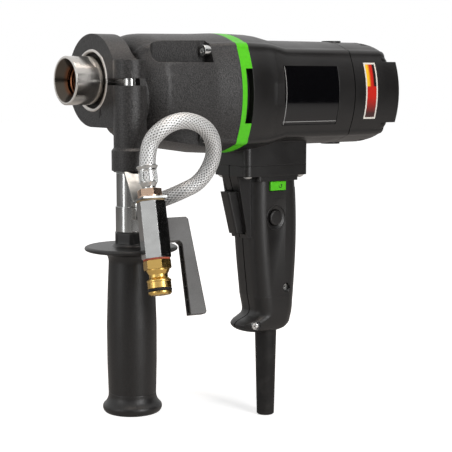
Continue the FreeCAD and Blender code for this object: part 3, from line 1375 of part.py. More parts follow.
def clamp_nut():
    """Round nut with two flats near its lower end."""
    body = tube_z(CLAMP_NUT_BOTTOM, TUBE_BOTTOM - 0.05, CLAMP_NUT_R, CLAMP_BOLT_R + SEAT_GAP, EAR_X, EAR_Y)
    half = CLAMP_NUT_FLAT / 2
    for side in (-1, 1):
        y0 = EAR_Y + min(side * half, side * (half + 5))
        body = body.cut(box(EAR_X - 12, EAR_X + 12, y0, y0 + 5, CLAMP_NUT_BOTTOM + 0.6, CLAMP_NUT_BOTTOM + 8.5))
    return body


def grip():
    """Grip turned in one piece: hexagonal-looking nub, guard disc and a swelling handle."""
    top = CLAMP_NUT_BOTTOM - FACE_GAP
    disc_low = GRIP_DISC_TOP - GRIP_DISC_THICKNESS

    def at(r, z):
        return Vector(EAR_X + r, EAR_Y, z)

    edges = [
        Part.LineSegment(at(0, top), at(GRIP_NUB_R, top)),
        Part.LineSegment(at(GRIP_NUB_R, top), at(GRIP_NUB_R, GRIP_DISC_TOP + 2)),
        Part.LineSegment(at(GRIP_NUB_R, GRIP_DISC_TOP + 2), at(GRIP_NUB_R + 2, GRIP_DISC_TOP)),
        Part.LineSegment(at(GRIP_NUB_R + 2, GRIP_DISC_TOP), at(GRIP_DISC_R - 1.5, GRIP_DISC_TOP)),
        Part.Arc(at(GRIP_DISC_R - 1.5, GRIP_DISC_TOP),
                 at(GRIP_DISC_R, GRIP_DISC_TOP - GRIP_DISC_THICKNESS / 2), at(GRIP_DISC_R - 1.5, disc_low)),
        Part.LineSegment(at(GRIP_DISC_R - 1.5, disc_low), at(GRIP_NECK_R + 3, disc_low - 1)),
        Part.Arc(at(GRIP_NECK_R + 3, disc_low - 1), at(GRIP_NECK_R + 0.9, disc_low - 1.9),
                 at(GRIP_NECK_R, disc_low - 4)),
        Part.Arc(at(GRIP_NECK_R, disc_low - 4), at(GRIP_BELLY_R, GRIP_BOTTOM + 61),
                 at(GRIP_TAIL_R, GRIP_BOTTOM + 13)),
        Part.Arc(at(GRIP_TAIL_R, GRIP_BOTTOM + 13), at(GRIP_TAIL_R + 1.4, GRIP_BOTTOM + 8.5),
                 at(GRIP_FLARE_R, GRIP_BOTTOM + 6)),
        Part.Arc(at(GRIP_FLARE_R, GRIP_BOTTOM + 6), at(GRIP_FLARE_R - 0.4, GRIP_BOTTOM + 2),
                 at(GRIP_FLARE_R - 3.5, GRIP_BOTTOM)),
        Part.LineSegment(at(GRIP_FLARE_R - 3.5, GRIP_BOTTOM), at(0, GRIP_BOTTOM)),
        Part.LineSegment(at(0, GRIP_BOTTOM), at(0, top)),
    ]
    outline = Part.Wire([edge.toShape() for edge in edges])
    body = Part.Face(outline).revolve(Vector(EAR_X, EAR_Y, 0), Vector(0, 0, 1), 360)
    return body.cut(cylinder_z(BOLT_END - FACE_GAP, top + 1, CLAMP_BOLT_R + RUN_GAP, EAR_X, EAR_Y))


# Water valve: local Z runs up the valve's axis from the top face of its hexagon

def valve_down():
    """Unit vector down the valve's axis."""
    turn = math.radians(VALVE_AZIMUTH)
    tilt = math.radians(VALVE_TILT)
    return Vector(math.sin(tilt) * math.cos(turn), math.sin(tilt) * math.sin(turn), -math.cos(tilt))


def valve_origin():
    """Centre of the top face of the valve's hexagon."""
    turn = math.radians(VALVE_AZIMUTH)
    return Vector(EAR_X + VALVE_REACH * math.cos(turn), EAR_Y + VALVE_REACH * math.sin(turn), VALVE_TOP)


def stem_direction():
    """Unit vector along the valve's stem, square to its axis."""
    down = valve_down()
    wanted = Vector(math.cos(math.radians(LEVER_AZIMUTH)), math.sin(math.radians(LEVER_AZIMUTH)), 0)
    across = wanted - down * wanted.dot(down)
    across.normalize()
    return across


def on_valve(shape):
    """Move a shape from the valve's own axes to its place on the rig."""
    up = valve_down() * -1
    stem = stem_direction()
    turn = FreeCAD.Rotation(stem, up.cross(stem), up, "XYZ")
    shape.Placement = FreeCAD.Placement(valve_origin(), turn).multiply(shape.Placement)
    return shape


def valve_body():
    """Hexagonal valve body with its water bore, ball chamber and stem hole."""
    body = hexagon(VALVE_FLAT, -VALVE_LENGTH, 0)
    body = body.common(chamfered_round(VALVE_FLAT / math.sqrt(3) + 0.02, -VALVE_LENGTH, 0, 0.7))
    body = body.cut(cylinder_z(-VALVE_LENGTH - 1, 1, VALVE_BORE_R))
    chamber = cylinder_z(-STEM_DEPTH - BALL_R - 2, -STEM_DEPTH + BALL_R + 2, BALL_CHAMBER_R)
    stem_hole = cylinder_x(0, VALVE_FLAT, STEM_R + RUN_GAP, 0, -STEM_DEPTH)
    return on_valve(body.cut(chamber).cut(stem_hole))


def chamfered_round(radius, z0, z1, chamfer):
    """Bar with both ends chamfered, to break the corners of a hexagon."""
    return turned_z([
        (0, z0),
        (radius - chamfer, z0),
        (radius, z0 + chamfer),
        (radius, z1 - chamfer),
        (radius - chamfer, z1),
        (0, z1),
    ])


def valve_seats():
    """Two soft seats that hold the ball."""
    seats = []
    for z0 in (-STEM_DEPTH - BALL_R - 1.9, -STEM_DEPTH + BALL_R - 1.1):
        ring = tube_z(z0, z0 + 3.0, BALL_CHAMBER_R - SEAT_GAP, VALVE_BORE_R)
        seats.append(ring.cut(Part.makeSphere(BALL_R + RUN_GAP, Vector(0, 0, -STEM_DEPTH))))
    return on_valve(group(seats))


def valve_stem():
    """Ball with its bore, and the stem that the lever turns."""
    ball = Part.makeSphere(BALL_R, Vector(0, 0, -STEM_DEPTH))
    ball = ball.cut(cylinder_z(-STEM_DEPTH - BALL_R, -STEM_DEPTH + BALL_R, VALVE_BORE_R - 0.5))
    stem = cylinder_x(BALL_R - 1, LEVER_INNER, STEM_R, 0, -STEM_DEPTH)
    return on_valve(join([ball, stem]))


def valve_lever():
    """L-shaped lever: a hub on the stem and a ribbed channel that hangs beside the valve."""
    half = LEVER_WIDTH / 2
    hub_x = VALVE_FLAT / 2 + FACE_GAP
    outline = [
        (hub_x, -LEVER_TOP),
        (LEVER_OUTER_TOP - 1.5, -LEVER_TOP),
        (LEVER_OUTER_TOP, -LEVER_TOP - 1.5),
        (LEVER_OUTER_END, -LEVER_END + 1.5),
        (LEVER_OUTER_END - 1, -LEVER_END),
        (LEVER_INNER + 0.6, -LEVER_END),
        (LEVER_INNER, -LEVER_HUB_BOTTOM - 2),
        (LEVER_INNER - 2, -LEVER_HUB_BOTTOM),
        (hub_x, -LEVER_HUB_BOTTOM),
    ]
    body = prism_y(outline, half)
    back = LEVER_WALL
    channel = prism_y([
        (LEVER_INNER - 1, -LEVER_HUB_BOTTOM - 3),
        (LEVER_OUTER_TOP + 1 - back, -LEVER_HUB_BOTTOM - 3),
        (LEVER_OUTER_END - back - 0.3, -LEVER_END + 1.5),
        (LEVER_INNER - 1, -LEVER_END + 1.5),
    ], half - LEVER_WALL)
    first = -LEVER_HUB_BOTTOM - 3
    spacing = (LEVER_END - LEVER_HUB_BOTTOM - 4.5) / (LEVER_RIBS + 1)
    for k in range(1, LEVER_RIBS + 1):
        z = first - k * spacing
        channel = channel.cut(box(LEVER_INNER + 0.8, LEVER_OUTER_END, -half, half, z - 0.6, z + 0.6))
    body = body.cut(channel)
    stem_hole = cylinder_x(0, LEVER_INNER + 0.2, STEM_R + 0.02, 0, -STEM_DEPTH)
    return on_valve(body.cut(stem_hole))


def valve_bracket():
    """Bent sheet bracket from under the boss to the top of the valve."""
    tilt = math.radians(VALVE_TILT)
    t = BRACKET_THICKNESS
    tab_r = GASKET_R
    lift = GASKET_THICKNESS
    tab_s = VALVE_REACH - lift * math.sin(tilt)
    tab_z = VALVE_TOP + lift * math.cos(tilt)
    run_s = math.cos(tilt)
    run_z = math.sin(tilt)
    bend_r = WASHER_R + 1.6
    inner = (tab_s - bend_r * run_s, tab_z - bend_r * run_z)
    outer = (tab_s + tab_r * run_s, tab_z + tab_r * run_z)
    top = FOOT_BOTTOM - 0.05
    up_s = -math.sin(tilt) * t
    up_z = math.cos(tilt) * t
    outline = [
        (-BRACKET_ARM, top),
        (BRACKET_ARM + 1, top),
        (inner[0] + up_s + 0.9, inner[1] + up_z),
        (outer[0] + up_s, outer[1] + up_z),
        (outer[0], outer[1]),
        (inner[0] - 0.9, inner[1]),
        (BRACKET_ARM - 0.2, top - t),
        (-BRACKET_ARM, top - t),
    ]
    sheet = prism_y(outline, BRACKET_WIDTH / 2)
    sheet = sheet.cut(cylinder_z(top - t - 1, top + 1, CLAMP_BOLT_R + SEAT_GAP, 0, 0))
    sheet.rotate(Vector(0, 0, 0), Vector(0, 0, 1), VALVE_AZIMUTH)
    sheet.translate(Vector(EAR_X, EAR_Y, 0))
    return sheet.cut(on_valve(cylinder_z(-1, lift + t + 3, FERRULE_NECK_R + 0.3)))


def fibre_gaskets():
    """Fibre gaskets above the bracket's tab, under it, and over the connector."""
    upper = tube_z(0.02, GASKET_THICKNESS - 0.02, GASKET_R, FERRULE_NECK_R + 0.3)
    z1 = -VALVE_LENGTH - 0.02
    lower = tube_z(z1 - GASKET_THICKNESS, z1, VALVE_FLAT / 2 + 0.3, VALVE_BORE_R)
    return on_valve(group([upper, lower]))


def bracket_nut():
    """Flat washer and thin hexagon nut that hold the valve to the bracket."""
    z0 = GASKET_THICKNESS + BRACKET_THICKNESS + 0.05
    washer = cylinder_z(z0, z0 + WASHER_THICKNESS, WASHER_R)
    nut = hexagon(BRACKET_NUT_FLAT, z0 + WASHER_THICKNESS - 0.01, z0 + WASHER_THICKNESS + BRACKET_NUT)
    stub = cylinder_z(0.02, z0 + 1, FERRULE_NECK_R)
    return on_valve(join([washer, nut, stub]).cut(cylinder_z(-1, 20, HOSE_BORE_R - 0.5)))


def ferrule_profile(z0, length):
    """Crimped hose ferrule from its narrow neck to its flared rim, with the hose's socket."""
    socket = z0 + 5.0
    top = z0 + length
    return turned_z([
        (HOSE_BORE_R - 0.5, z0),
        (FERRULE_NECK_R, z0),
        (FERRULE_NECK_R, z0 + 1.5),
        (FERRULE_R, z0 + 4.5),
        (FERRULE_R, top - 2.5),
        (FERRULE_RIM_R, top - 0.8),
        (FERRULE_RIM_R, top),
        (HOSE_R + 0.02, top),
        (HOSE_R + 0.02, socket),
        (HOSE_BORE_R - 0.5, socket),
    ])


def ferrule_start():
    """Height of the valve ferrule's lower end on the valve's axis."""
    return GASKET_THICKNESS + BRACKET_THICKNESS + 0.05 + WASHER_THICKNESS + BRACKET_NUT + 0.05


def valve_ferrule():
    """Ferrule crimped on the hose's valve end."""
    return on_valve(ferrule_profile(ferrule_start(), FERRULE_LENGTH))


def hose_connector():
    """Brass plug connector: hexagon, waist, ridge and barrel with an O-ring groove."""
    z1 = -VALVE_LENGTH - GASKET_THICKNESS - 0.04
    hex_low = z1 - CONNECTOR_HEX
    end = z1 - CONNECTOR_LENGTH
    barrel = CONNECTOR_BARREL_R
    ring_z = end + 3.4
    plug = turned_z([
        (0, hex_low + 1),
        (7.4, hex_low + 1),
        (7.6, hex_low - 0.6),
        (7.0, hex_low - 1.8),
        (6.1, hex_low - 3.4),
        (6.1, hex_low - 5.2),
        (barrel + 0.25, hex_low - 7.0),
        (barrel + 0.25, hex_low - 7.8),
        (barrel, hex_low - 8.2),
        (barrel, ring_z + O_RING_TUBE_R),
        (barrel - 1.7, ring_z + O_RING_TUBE_R),
        (barrel - 1.7, ring_z - O_RING_TUBE_R),
        (barrel, ring_z - O_RING_TUBE_R),
        (barrel - 0.1, end + 1.2),
        (barrel - 1.2, end),
        (0, end),
    ])
    nut = hexagon(CONNECTOR_FLAT, hex_low, z1)
    nut = nut.common(chamfered_round(CONNECTOR_FLAT / math.sqrt(3), hex_low, z1, 0.6))
    return on_valve(join([plug, nut]).cut(cylinder_z(end - 1, z1 + 1, CONNECTOR_BORE_R)))


def connector_o_ring():
    """Rubber ring in the connector's groove."""
    end = -VALVE_LENGTH - GASKET_THICKNESS - 0.04 - CONNECTOR_LENGTH
    centre_r = CONNECTOR_BARREL_R + 0.25 - O_RING_TUBE_R
    ring = Part.makeTorus(centre_r, O_RING_TUBE_R - 0.05, Vector(0, 0, end + 3.4), Vector(0, 0, 1))
    return on_valve(ring.cut(cylinder_z(end, end + 8, CONNECTOR_BARREL_R - 1.69)))


# Water inlet and hose

def water_inlet():
    """Inlet nipple screwed into the underside of the casting."""
    seat = INLET_SEAT_Z
    hex_top = CASE_FRONT_BOTTOM - 0.5
    stub = cylinder_z(hex_top - INLET_HEX, seat - 0.1, 6.4, INLET_X, 0)
    nut = hexagon(INLET_HEX_FLAT, hex_top - INLET_HEX, hex_top)
    nut.translate(Vector(INLET_X, 0, 0))
    return join([stub, nut]).cut(cylinder_z(INLET_BOTTOM, 0, HOSE_BORE_R - 0.5, INLET_X, 0))


def inlet_ferrule():
    """Ferrule crimped on the hose's inlet end."""
    top = CASE_FRONT_BOTTOM - 0.5 - INLET_HEX - 0.05
    body = ferrule_profile(0.0, top - INLET_BOTTOM)
    body.rotate(Vector(0, 0, 0), Vector(1, 0, 0), 180)
    body.translate(Vector(INLET_X, 0, top))
    return body


def hose_points():
    """Route of the hose from the inlet ferrule's socket to the valve ferrule's socket."""
    top = CASE_FRONT_BOTTOM - 0.5 - INLET_HEX - 0.05
    start = Vector(INLET_X, 0, top - 5.1)
    up = valve_down() * -1
    end = valve_origin() + up * (ferrule_start() + 5.1)
    leave = valve_origin() + up * (ferrule_start() + FERRULE_LENGTH + HOSE_EXIT_RUN)
    return [start] + [Vector(*p) for p in HOSE_MIDDLE] + [leave, end]


def bent_path(points):
    """Straight runs joined by tangent arcs, each as large as its two runs allow, with the radii used."""
    edges = []
    radii = []
    here = points[0]
    length = 0.0
    for before, corner, after in zip(points, points[1:], points[2:]):
        towards = corner - before
        onward = after - corner
        run = min(towards.Length, onward.Length)
        turn = towards.getAngle(onward)
        setback = 0.45 * run
        radius = setback / math.tan(turn / 2)
        towards.normalize()
        onward.normalize()
        arc_start = corner - towards * setback
        arc_end = corner + onward * setback
        inward = onward - towards
        inward.normalize()
        middle = corner + inward * (radius / math.cos(turn / 2) - radius)
        edges.append(Part.LineSegment(here, arc_start).toShape())
        edges.append(Part.Arc(arc_start, middle, arc_end).toShape())
        length += (arc_start - here).Length + radius * turn
        here = arc_end
        radii.append(radius)
    edges.append(Part.LineSegment(here, points[-1]).toShape())
    length += (points[-1] - here).Length
    return Part.Wire(edges), radii, length


def water_hose():
    """Braided hose from the casting's inlet to the valve."""
    points = hose_points()
    path, radii, length = bent_path(points)
    direction = points[1] - points[0]
    ring = Part.Wire([Part.makeCircle(HOSE_R, points[0], direction)])
    tube = path.makePipeShell([ring], True, False)
    print("hose radii", [round(r, 1) for r in radii])
    print("hose length", round(length, 1))
    print("hose volume", round(tube.Volume, 1), "expected", round(math.pi * HOSE_R ** 2 * length, 1))
    return tube


NODES = [
    spindle, spindle_gear, layshaft, layshaft_gear,
    gearbox_housing, neck_collar, front_shaft_seal, water_seals, spindle_bearing_front, spindle_bearing_rear,
    bearing_plate, layshaft_bearings, gearbox_screws, intermediate_flange,
    armature_shaft, armature_core, armature_windings, commutator, cooling_fan,
    armature_bearing_front, armature_bearing_rear, stator_core, field_windings,
    motor_housing, label_plates, side_sticker, brush_holders, carbon_brushes, brush_caps,
    rear_cap, rear_cap_screws,
    handle_shell_left, handle_shell_right, handle_shell_screws, handle_flange_screws,
    trigger, trigger_switch, lock_button, direction_slider, cable_clamp, cable_sleeve,
    clamp_ring, clamp_bolt, spacer_tube, clamp_nut, grip,
    valve_bracket, valve_body, valve_seats, valve_stem, valve_lever, fibre_gaskets, bracket_nut,
    valve_ferrule, hose_connector, connector_o_ring,
    water_inlet, inlet_ferrule, water_hose,
]

os.makedirs("parts", exist_ok=True)
for make in NODES:
    make().exportStep("parts/" + make.__name__ + ".step")
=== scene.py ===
import json
import math

import bmesh
import bpy
import numpy as np
from bpy.props import FloatProperty, FloatVectorProperty, IntProperty, PointerProperty
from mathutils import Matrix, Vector


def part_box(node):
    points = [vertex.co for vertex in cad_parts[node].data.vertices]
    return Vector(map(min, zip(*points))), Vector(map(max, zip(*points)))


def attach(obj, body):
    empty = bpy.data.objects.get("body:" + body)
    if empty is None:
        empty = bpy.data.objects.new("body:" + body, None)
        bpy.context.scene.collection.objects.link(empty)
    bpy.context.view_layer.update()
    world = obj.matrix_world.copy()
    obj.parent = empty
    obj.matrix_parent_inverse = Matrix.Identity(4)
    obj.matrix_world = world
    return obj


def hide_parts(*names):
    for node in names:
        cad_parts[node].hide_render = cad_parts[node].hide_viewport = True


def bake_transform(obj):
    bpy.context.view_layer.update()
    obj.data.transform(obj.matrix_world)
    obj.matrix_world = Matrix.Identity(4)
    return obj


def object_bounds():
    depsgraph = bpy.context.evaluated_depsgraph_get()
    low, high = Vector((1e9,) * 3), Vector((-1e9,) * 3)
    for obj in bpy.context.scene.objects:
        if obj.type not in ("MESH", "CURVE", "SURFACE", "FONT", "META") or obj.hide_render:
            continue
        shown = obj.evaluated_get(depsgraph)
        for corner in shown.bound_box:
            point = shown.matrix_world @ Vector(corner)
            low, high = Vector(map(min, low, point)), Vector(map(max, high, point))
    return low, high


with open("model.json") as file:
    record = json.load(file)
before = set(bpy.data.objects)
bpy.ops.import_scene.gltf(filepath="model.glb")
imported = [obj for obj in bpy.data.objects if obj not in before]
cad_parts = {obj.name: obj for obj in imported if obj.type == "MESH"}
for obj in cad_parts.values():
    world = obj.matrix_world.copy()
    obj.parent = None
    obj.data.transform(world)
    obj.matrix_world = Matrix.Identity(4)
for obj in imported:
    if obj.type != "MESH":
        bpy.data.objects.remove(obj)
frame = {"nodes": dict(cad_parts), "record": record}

CAD_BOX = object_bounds()

bl_info = {
    "name": "Core Drill Rig Finish",
    "version": (1, 0, 0),
    "blender": (4, 5, 0),
    "location": "3D Viewport > Sidebar > Drill Rig",
    "description": "Dresses the core drill rig: castings, mouldings, plated parts, braided hose and studio",
    "category": "Object",
}

MM = 0.001
RECORD = frame["record"]
BODY_OF = {node: body for body, nodes in RECORD["behaviour"]["bodies"].items() for node in nodes}
SLOT_OF = {part["node"]: part["material_slot"] for part in RECORD["subparts"]}
MOUNTS = {mount["name"]: mount for mount in RECORD["mounts"]}
JOINTS = {joint["name"]: joint for joint in RECORD["behaviour"]["joints"]}

# Axes of the rig
X_WAY, Y_WAY, Z_WAY = np.eye(3)

# The valve's own axes: up its axis, along its stem, and the centre of its hexagon's top face
VALVE_UP = -np.array(MOUNTS["water_plug"]["axis"])
VALVE_STEM = -np.array(JOINTS["valve_lever_turn"]["axis"])
PLUG_TO_VALVE_TOP = 54.49 * MM
VALVE_TOP = np.array(MOUNTS["water_plug"]["pos_m"]) + VALVE_UP * PLUG_TO_VALVE_TOP

# Heights on the valve's axis above the hexagon's top face
FERRULE_BASE = 8.2 * MM
FERRULE_LENGTH = 15.5 * MM
FERRULE_SOCKET = 5.1 * MM
HOSE_EXIT_RUN = 12.0 * MM
HOSE_R = 5.5 * MM

# Inlet side of the hose, and its listed route between the two ferrules
INLET_X = 50.0 * MM
INLET_TOP = -52.55 * MM
INLET_LENGTH = 9.45 * MM
HOSE_MIDDLE = np.array([
    (50.0, 0.0, -72.0),
    (50.5, -8.0, -81.5),
    (52.0, -22.0, -84.5),
    (54.0, -38.0, -81.0),
    (59.5, -51.0, -75.5),
    (73.0, -57.0, -68.6),
    (79.9, -64.0, -49.6),
    (70.6, -70.0, -32.3),
    (49.8, -73.0, -24.6),
    (31.5, -72.5, -29.5),
]) * MM

# Ferrule's profile at real length: radius, and height above its base
FERRULE_PROFILE = [
    (4.3, 0.0),
    (4.3, 1.3),
    (5.0, 3.0),
    (6.2, 4.8),
    (6.2, 11.6),
    (5.9, 12.8),
    (6.5, 14.2),
    (7.1, 14.7),
    (7.1, 15.5),
    (5.7, 15.5),
    (5.55, 13.5),
]

# Pistol handle: half its width, and where its rounded foot takes over from the solids
HANDLE_HALF = 17.5 * MM
FOOT_TOP = -163.0 * MM
# Height, front, rear, half width, front corner radius, rear corner radius
FOOT_SECTIONS = [
    (-168.0, 156.2, 191.0, 17.45, 11.0, 11.0),
    (-172.0, 157.0, 190.9, 17.3, 11.0, 11.0),
    (-175.5, 156.9, 190.7, 17.0, 11.5, 11.0),
    (-178.0, 155.0, 190.5, 16.6, 12.5, 11.0),
    (-180.0, 150.8, 190.3, 16.2, 13.5, 11.0),
    (-182.0, 145.8, 190.0, 15.8, 14.5, 11.0),
    (-184.5, 143.0, 189.5, 15.2, 14.6, 10.5),
    (-187.0, 144.2, 188.0, 14.2, 13.8, 10.0),
    (-189.3, 147.8, 185.5, 12.5, 12.0, 9.0),
    (-191.0, 153.5, 181.0, 9.5, 9.0, 7.0),
    (-191.8, 160.0, 176.0, 5.0, 4.8, 4.0),
    (-192.0, 167.9, 168.1, 0.1, 0.1, 0.1),
]
FOOT_CORNER_R = 11.0
FOOT_STEPS = 5
FOOT_SCREW_SEAT = np.array([153.2, -14.7, -184.6]) * MM
FOOT_SCREW_AIM = np.array([-0.35, -1.0, 0.0])
# Radius, and height above the seat
SCREW_HOLE_PROFILE = [(4.0, -0.6), (4.0, 0.1), (3.3, 0.35), (2.9, 0.1), (2.8, -0.4), (0.0, -0.4)]
SCREW_HEAD_PROFILE = [(1.6, -0.5), (1.6, -0.2), (1.3, 0.0), (0.7, 0.05), (0.5, -0.2), (0.0, -0.2)]

# Rim moulded round the lock button: its middle radius, and its half widths across and proud
RIM_R = 8.95 * MM
RIM_ACROSS = 0.45 * MM
RIM_PROUD = 0.35 * MM

# Side grip: its axis, and its profile as radius and height
GRIP_AXIS = np.array([28.0, -38.0, 0.0]) * MM
GRIP_TOP = -101.3
GRIP_PROFILE = [
    (4.2, GRIP_TOP),
    (11.0, GRIP_TOP),
    (11.6, GRIP_TOP - 0.6),
    (11.6, -109.6),
    (13.0, -110.9),
    (30.0, -111.0),
    (31.5, -111.9),
    (31.5, -113.3),
    (30.0, -114.2),
    (19.2, -115.0),
    (16.4, -117.0),
    (15.3, -120.5),
    (16.2, -140.0),
    (17.0, -165.0),
    (16.9, -190.0),
    (16.3, -211.4),
    (16.1, -211.7),
    (16.3, -212.0),
    (16.4, -214.5),
    (17.6, -217.6),
    (20.2, -220.2),
    (20.3, -222.6),
    (19.0, -225.0),
    (16.0, -225.9),
    (0.0, -226.0),
]
NUB_FOOT = -109.2

# Thread ridge along the spindle, and its section as shares of a pitch and of its depth
THREAD_START = 7.4 * MM
THREAD_END = 29.5 * MM
THREAD_ACROSS = np.array([-0.46, -0.12, 0.12, 0.46])
THREAD_SUNK = 0.05 * MM

# Marks, as paths in millimetres on a face and the width at each of their points; the dark dart on the clamp is
# painted shade standing in for a small recess
MARK_PROUD = 0.12 * MM
DART_PATH = [(-1.0, -3.4), (-0.4, -1.6), (0.0, -1.5), (0.2, 2.6)]
DART_WIDTHS = [1.1, 1.3, 3.4, 0.2]
DART_Y = -20.5 * MM
DART_Z = -21.5 * MM
ARROW_R = 1.3
ARROW_TURN = np.radians(np.linspace(-200, 60, 16))
ARROW_WIDTHS = np.concatenate([np.full(13, 0.45), [1.4, 0.9, 0.1]])
ARROW_SHARE = 0.62
LINE_WIDTH = 0.35
HANDLE_LINES = {
    "handle_line_long": [(-4.5, -9.6), (0, -9.6), (4.8, -9.6)],
    "handle_line_short": [(0.6, -7.2), (1.1, -6.2), (0.9, -5.3)],
}

# Studio: what the lamps look at, then each lamp's place, width, height, watts and colour
LIT_POINT = (0.12, 0.0, -0.08)
FLOOR_GAP = 0.5 * MM
ONE_FACE = np.array([[0, 1, 2, 3]])
LAMPS = {
    "front_lamp": ((0.22, -1.3, 0.25), 0.35, 1.0, 11.0, "#ffffff"),
    "left_lamp": ((-1.2, -0.05, 0.1), 0.25, 1.0, 3.0, "#ffffff"),
    "top_lamp": ((0.1, -0.25, 1.1), 0.9, 0.5, 9.0, "#fff0e4"),
}
# Each board's place, the point that it faces, width, height and glow
FLAGS = {
    "right_flag": ((1.05, -0.85, 0.05), LIT_POINT, 1.5, 1.3, 0.0),
    # The camera flag's glow is a painted reflection of a dimly lit grey card
    "camera_flag": ((-0.75, -1.2, -0.2), (0.12, 0.0, -0.2), 1.5, 0.8, 0.1),
}

# Camera that matches the photograph's view of the rig
CAMERA_PLACE = (-0.4216, -0.7661, 0.0010)
CAMERA_AIM = (0.5839, 0.8036, -0.1149)
CAMERA_FOCAL_PX = 1270
FRAME_PX = 452
SENSOR_MM = 36.0


def linear(hex_colour):
    """Turn an sRGB hex colour into linear red, green, blue."""
    parts = np.array([int(hex_colour[k:k + 2], 16) for k in (1, 3, 5)]) / 255
    return tuple(np.where(parts <= 0.04045, parts / 12.92, ((parts + 0.055) / 1.055) ** 2.4))


def colour_value(label, hex_colour, about):
    """A colour that the user can change."""
    return FloatVectorProperty(name=label, description=about, subtype="COLOR", size=3, min=0, max=1,
                               default=linear(hex_colour))


def length_value(label, millimetres, about):
    """A length that the user can change."""
    return FloatProperty(name=label, description=about, default=millimetres * MM, min=0,
                         unit="LENGTH", precision=5)


class RigColours(bpy.types.PropertyGroup):
    """Colours of the rig's finishes."""
    casting: colour_value("Casting", "#1d1c1c", "Powder coat on the gearbox and the clamp")
    moulding: colour_value("Moulding", "#141313", "Glass filled nylon of the motor housing and handle")
    flange: colour_value("Flange", "#52c21a", "Enamel on the flange and slider")
    lever: colour_value("Lever", "#343332", "Nylon of the valve lever")
    grip: colour_value("Grip", "#100f0f", "Rubber of the side grip")
    braid: colour_value("Braid", "#d3d4d4", "Stainless wire of the braid")
    floor: colour_value("Floor", "#f4f4f4", "Studio floor")


class RigSizes(bpy.types.PropertyGroup):
    """Sizes of the details that are made here."""
    casting_grit: length_value("Casting grit", 0.9, "Grain of the powder coat, drawn coarse enough to show")
    moulding_grit: length_value("Moulding grain", 0.55, "Grain of the spark-eroded mould")
    edge: length_value("Edge rounding", 0.8, "Rounding on the edges of castings and mouldings")
    thread_pitch: length_value("Thread pitch", 1.814, "Pitch of the half-inch pipe thread")
    thread_depth: length_value("Thread depth", 0.9, "Height of the thread ridge")
    braid_cell: length_value("Braid cell", 3.3, "Length of one diamond of the braid along the hose")
    braid_rise: length_value("Braid rise", 0.38, "How far a strand of the braid stands up")
    braid_strands: IntProperty(name="Braid strands", description="Strands that run each way round the hose",
                               default=16, min=4)


def sizes():
    """The rig's sizes as the user has set them."""
    return bpy.context.scene.rig_sizes


def colours():
    """The rig's colours as the user has set them."""
    return bpy.context.scene.rig_colours


# Materials

def add_node(tree, kind, settings=None, links=None):
    """Add one shader node, set its options and sockets by name or place, and link its inputs."""
    node = tree.nodes.new("ShaderNode" + kind)
    for key, value in (settings or {}).items():
        if isinstance(key, str) and hasattr(node, key):
            setattr(node, key, value)
        else:
            node.inputs[key].default_value = value
    for key, source in (links or {}).items():
        tree.links.new(source, node.inputs[key])
    return node


def start_material(name, **values):
    """New material with its Principled shader, whose sockets take the given values."""
    material = bpy.data.materials.new(name)
    material.use_nodes = True
    tree = material.node_tree
    shader = tree.nodes["Principled BSDF"]
    for key, value in values.items():
        socket = shader.inputs[key.replace("_", " ")]
        socket.default_value = (*value, 1.0) if hasattr(value, "__len__") and len(value) == 3 else value
    place = add_node(tree, "TexCoord").outputs["Object"]
    return material, tree, shader, place


def mottled(tree, place, size, detail=3.0, seed=0.0):
    """Noise whose blotches are about size across."""
    settings = {"noise_dimensions": "4D", "Scale": 1 / size, "Detail": detail, "W": seed}
    return add_node(tree, "TexNoise", settings, {"Vector": place}).outputs["Fac"]


def remap(tree, value, low, high, out_low, out_high):
    """Stretch a value from one range to another."""
    node = add_node(tree, "MapRange", {1: low, 2: high, 3: out_low, 4: out_high}, {0: value})
    return node.outputs[0]


def blend_colour(tree, share, first, second):
    """Mix two linear colours by share."""
    node = add_node(tree, "Mix", {"data_type": "RGBA", 6: (*first, 1), 7: (*second, 1)}, {0: share})
    return node.outputs[2]


def math_node(tree, operation, first, second):
    """Work out one value from a socket and either a number or another socket."""
    if isinstance(second, (int, float)):
        return add_node(tree, "Math", {"operation": operation, 1: float(second)}, {0: first}).outputs[0]
    return add_node(tree, "Math", {"operation": operation}, {0: first, 1: second}).outputs[0]


def cover(tree, share, under, hex_colour):
    """Lay a plain colour over what a socket gives, by share."""
    node = add_node(tree, "Mix", {"data_type": "RGBA", 7: (*linear(hex_colour), 1)}, {0: share, 6: under})
    return node.outputs[2]


def rough_surface(tree, shader, height, distance, strength=1.0, round_edges=0.0):
    """Bump the shader by a height, over softly rounded edges."""
    links = {"Height": height}
    if round_edges:
        links["Normal"] = add_node(tree, "Bevel", {"samples": 6, "Radius": round_edges}).outputs[0]
    bump = add_node(tree, "Bump", {"Distance": distance, "Strength": strength}, links)
    tree.links.new(bump.outputs[0], shader.inputs["Normal"])


def shade(colour, factor):
    """A lighter or darker form of a colour."""
    return tuple(min(1.0, channel * factor) for channel in colour)


def powder_coat():
    """Black textured powder coat, sprayed on die-cast aluminium: a sandy sparkle of tiny lit bumps."""
    base = colours().casting
    material, tree, shader, place = start_material("powder_coated_aluminium", Roughness=0.42,
                                                   Specular_IOR_Level=0.45)
    grit = sizes().casting_grit
    fine = mottled(tree, place, grit, 2.0)
    share = remap(tree, fine, 0.38, 0.66, 0.0, 1.0)
    tint = blend_colour(tree, share, shade(base, 0.2), shade(base, 3.0))
    tree.links.new(tint, shader.inputs["Base Color"])
    rough_surface(tree, shader, fine, grit * 0.34, 1.0, sizes().edge)
    return material


def near_plane(tree, place, axis, position, half_width):
    """One where a point lies within half a width of a plane across an axis, and nought elsewhere."""
    apart = add_node(tree, "SeparateXYZ", None, {0: place}).outputs[axis]
    offset = math_node(tree, "SUBTRACT", apart, float(position))
    size = add_node(tree, "Math", {"operation": "ABSOLUTE"}, {0: offset}).outputs[0]
    return math_node(tree, "LESS_THAN", size, float(half_width))


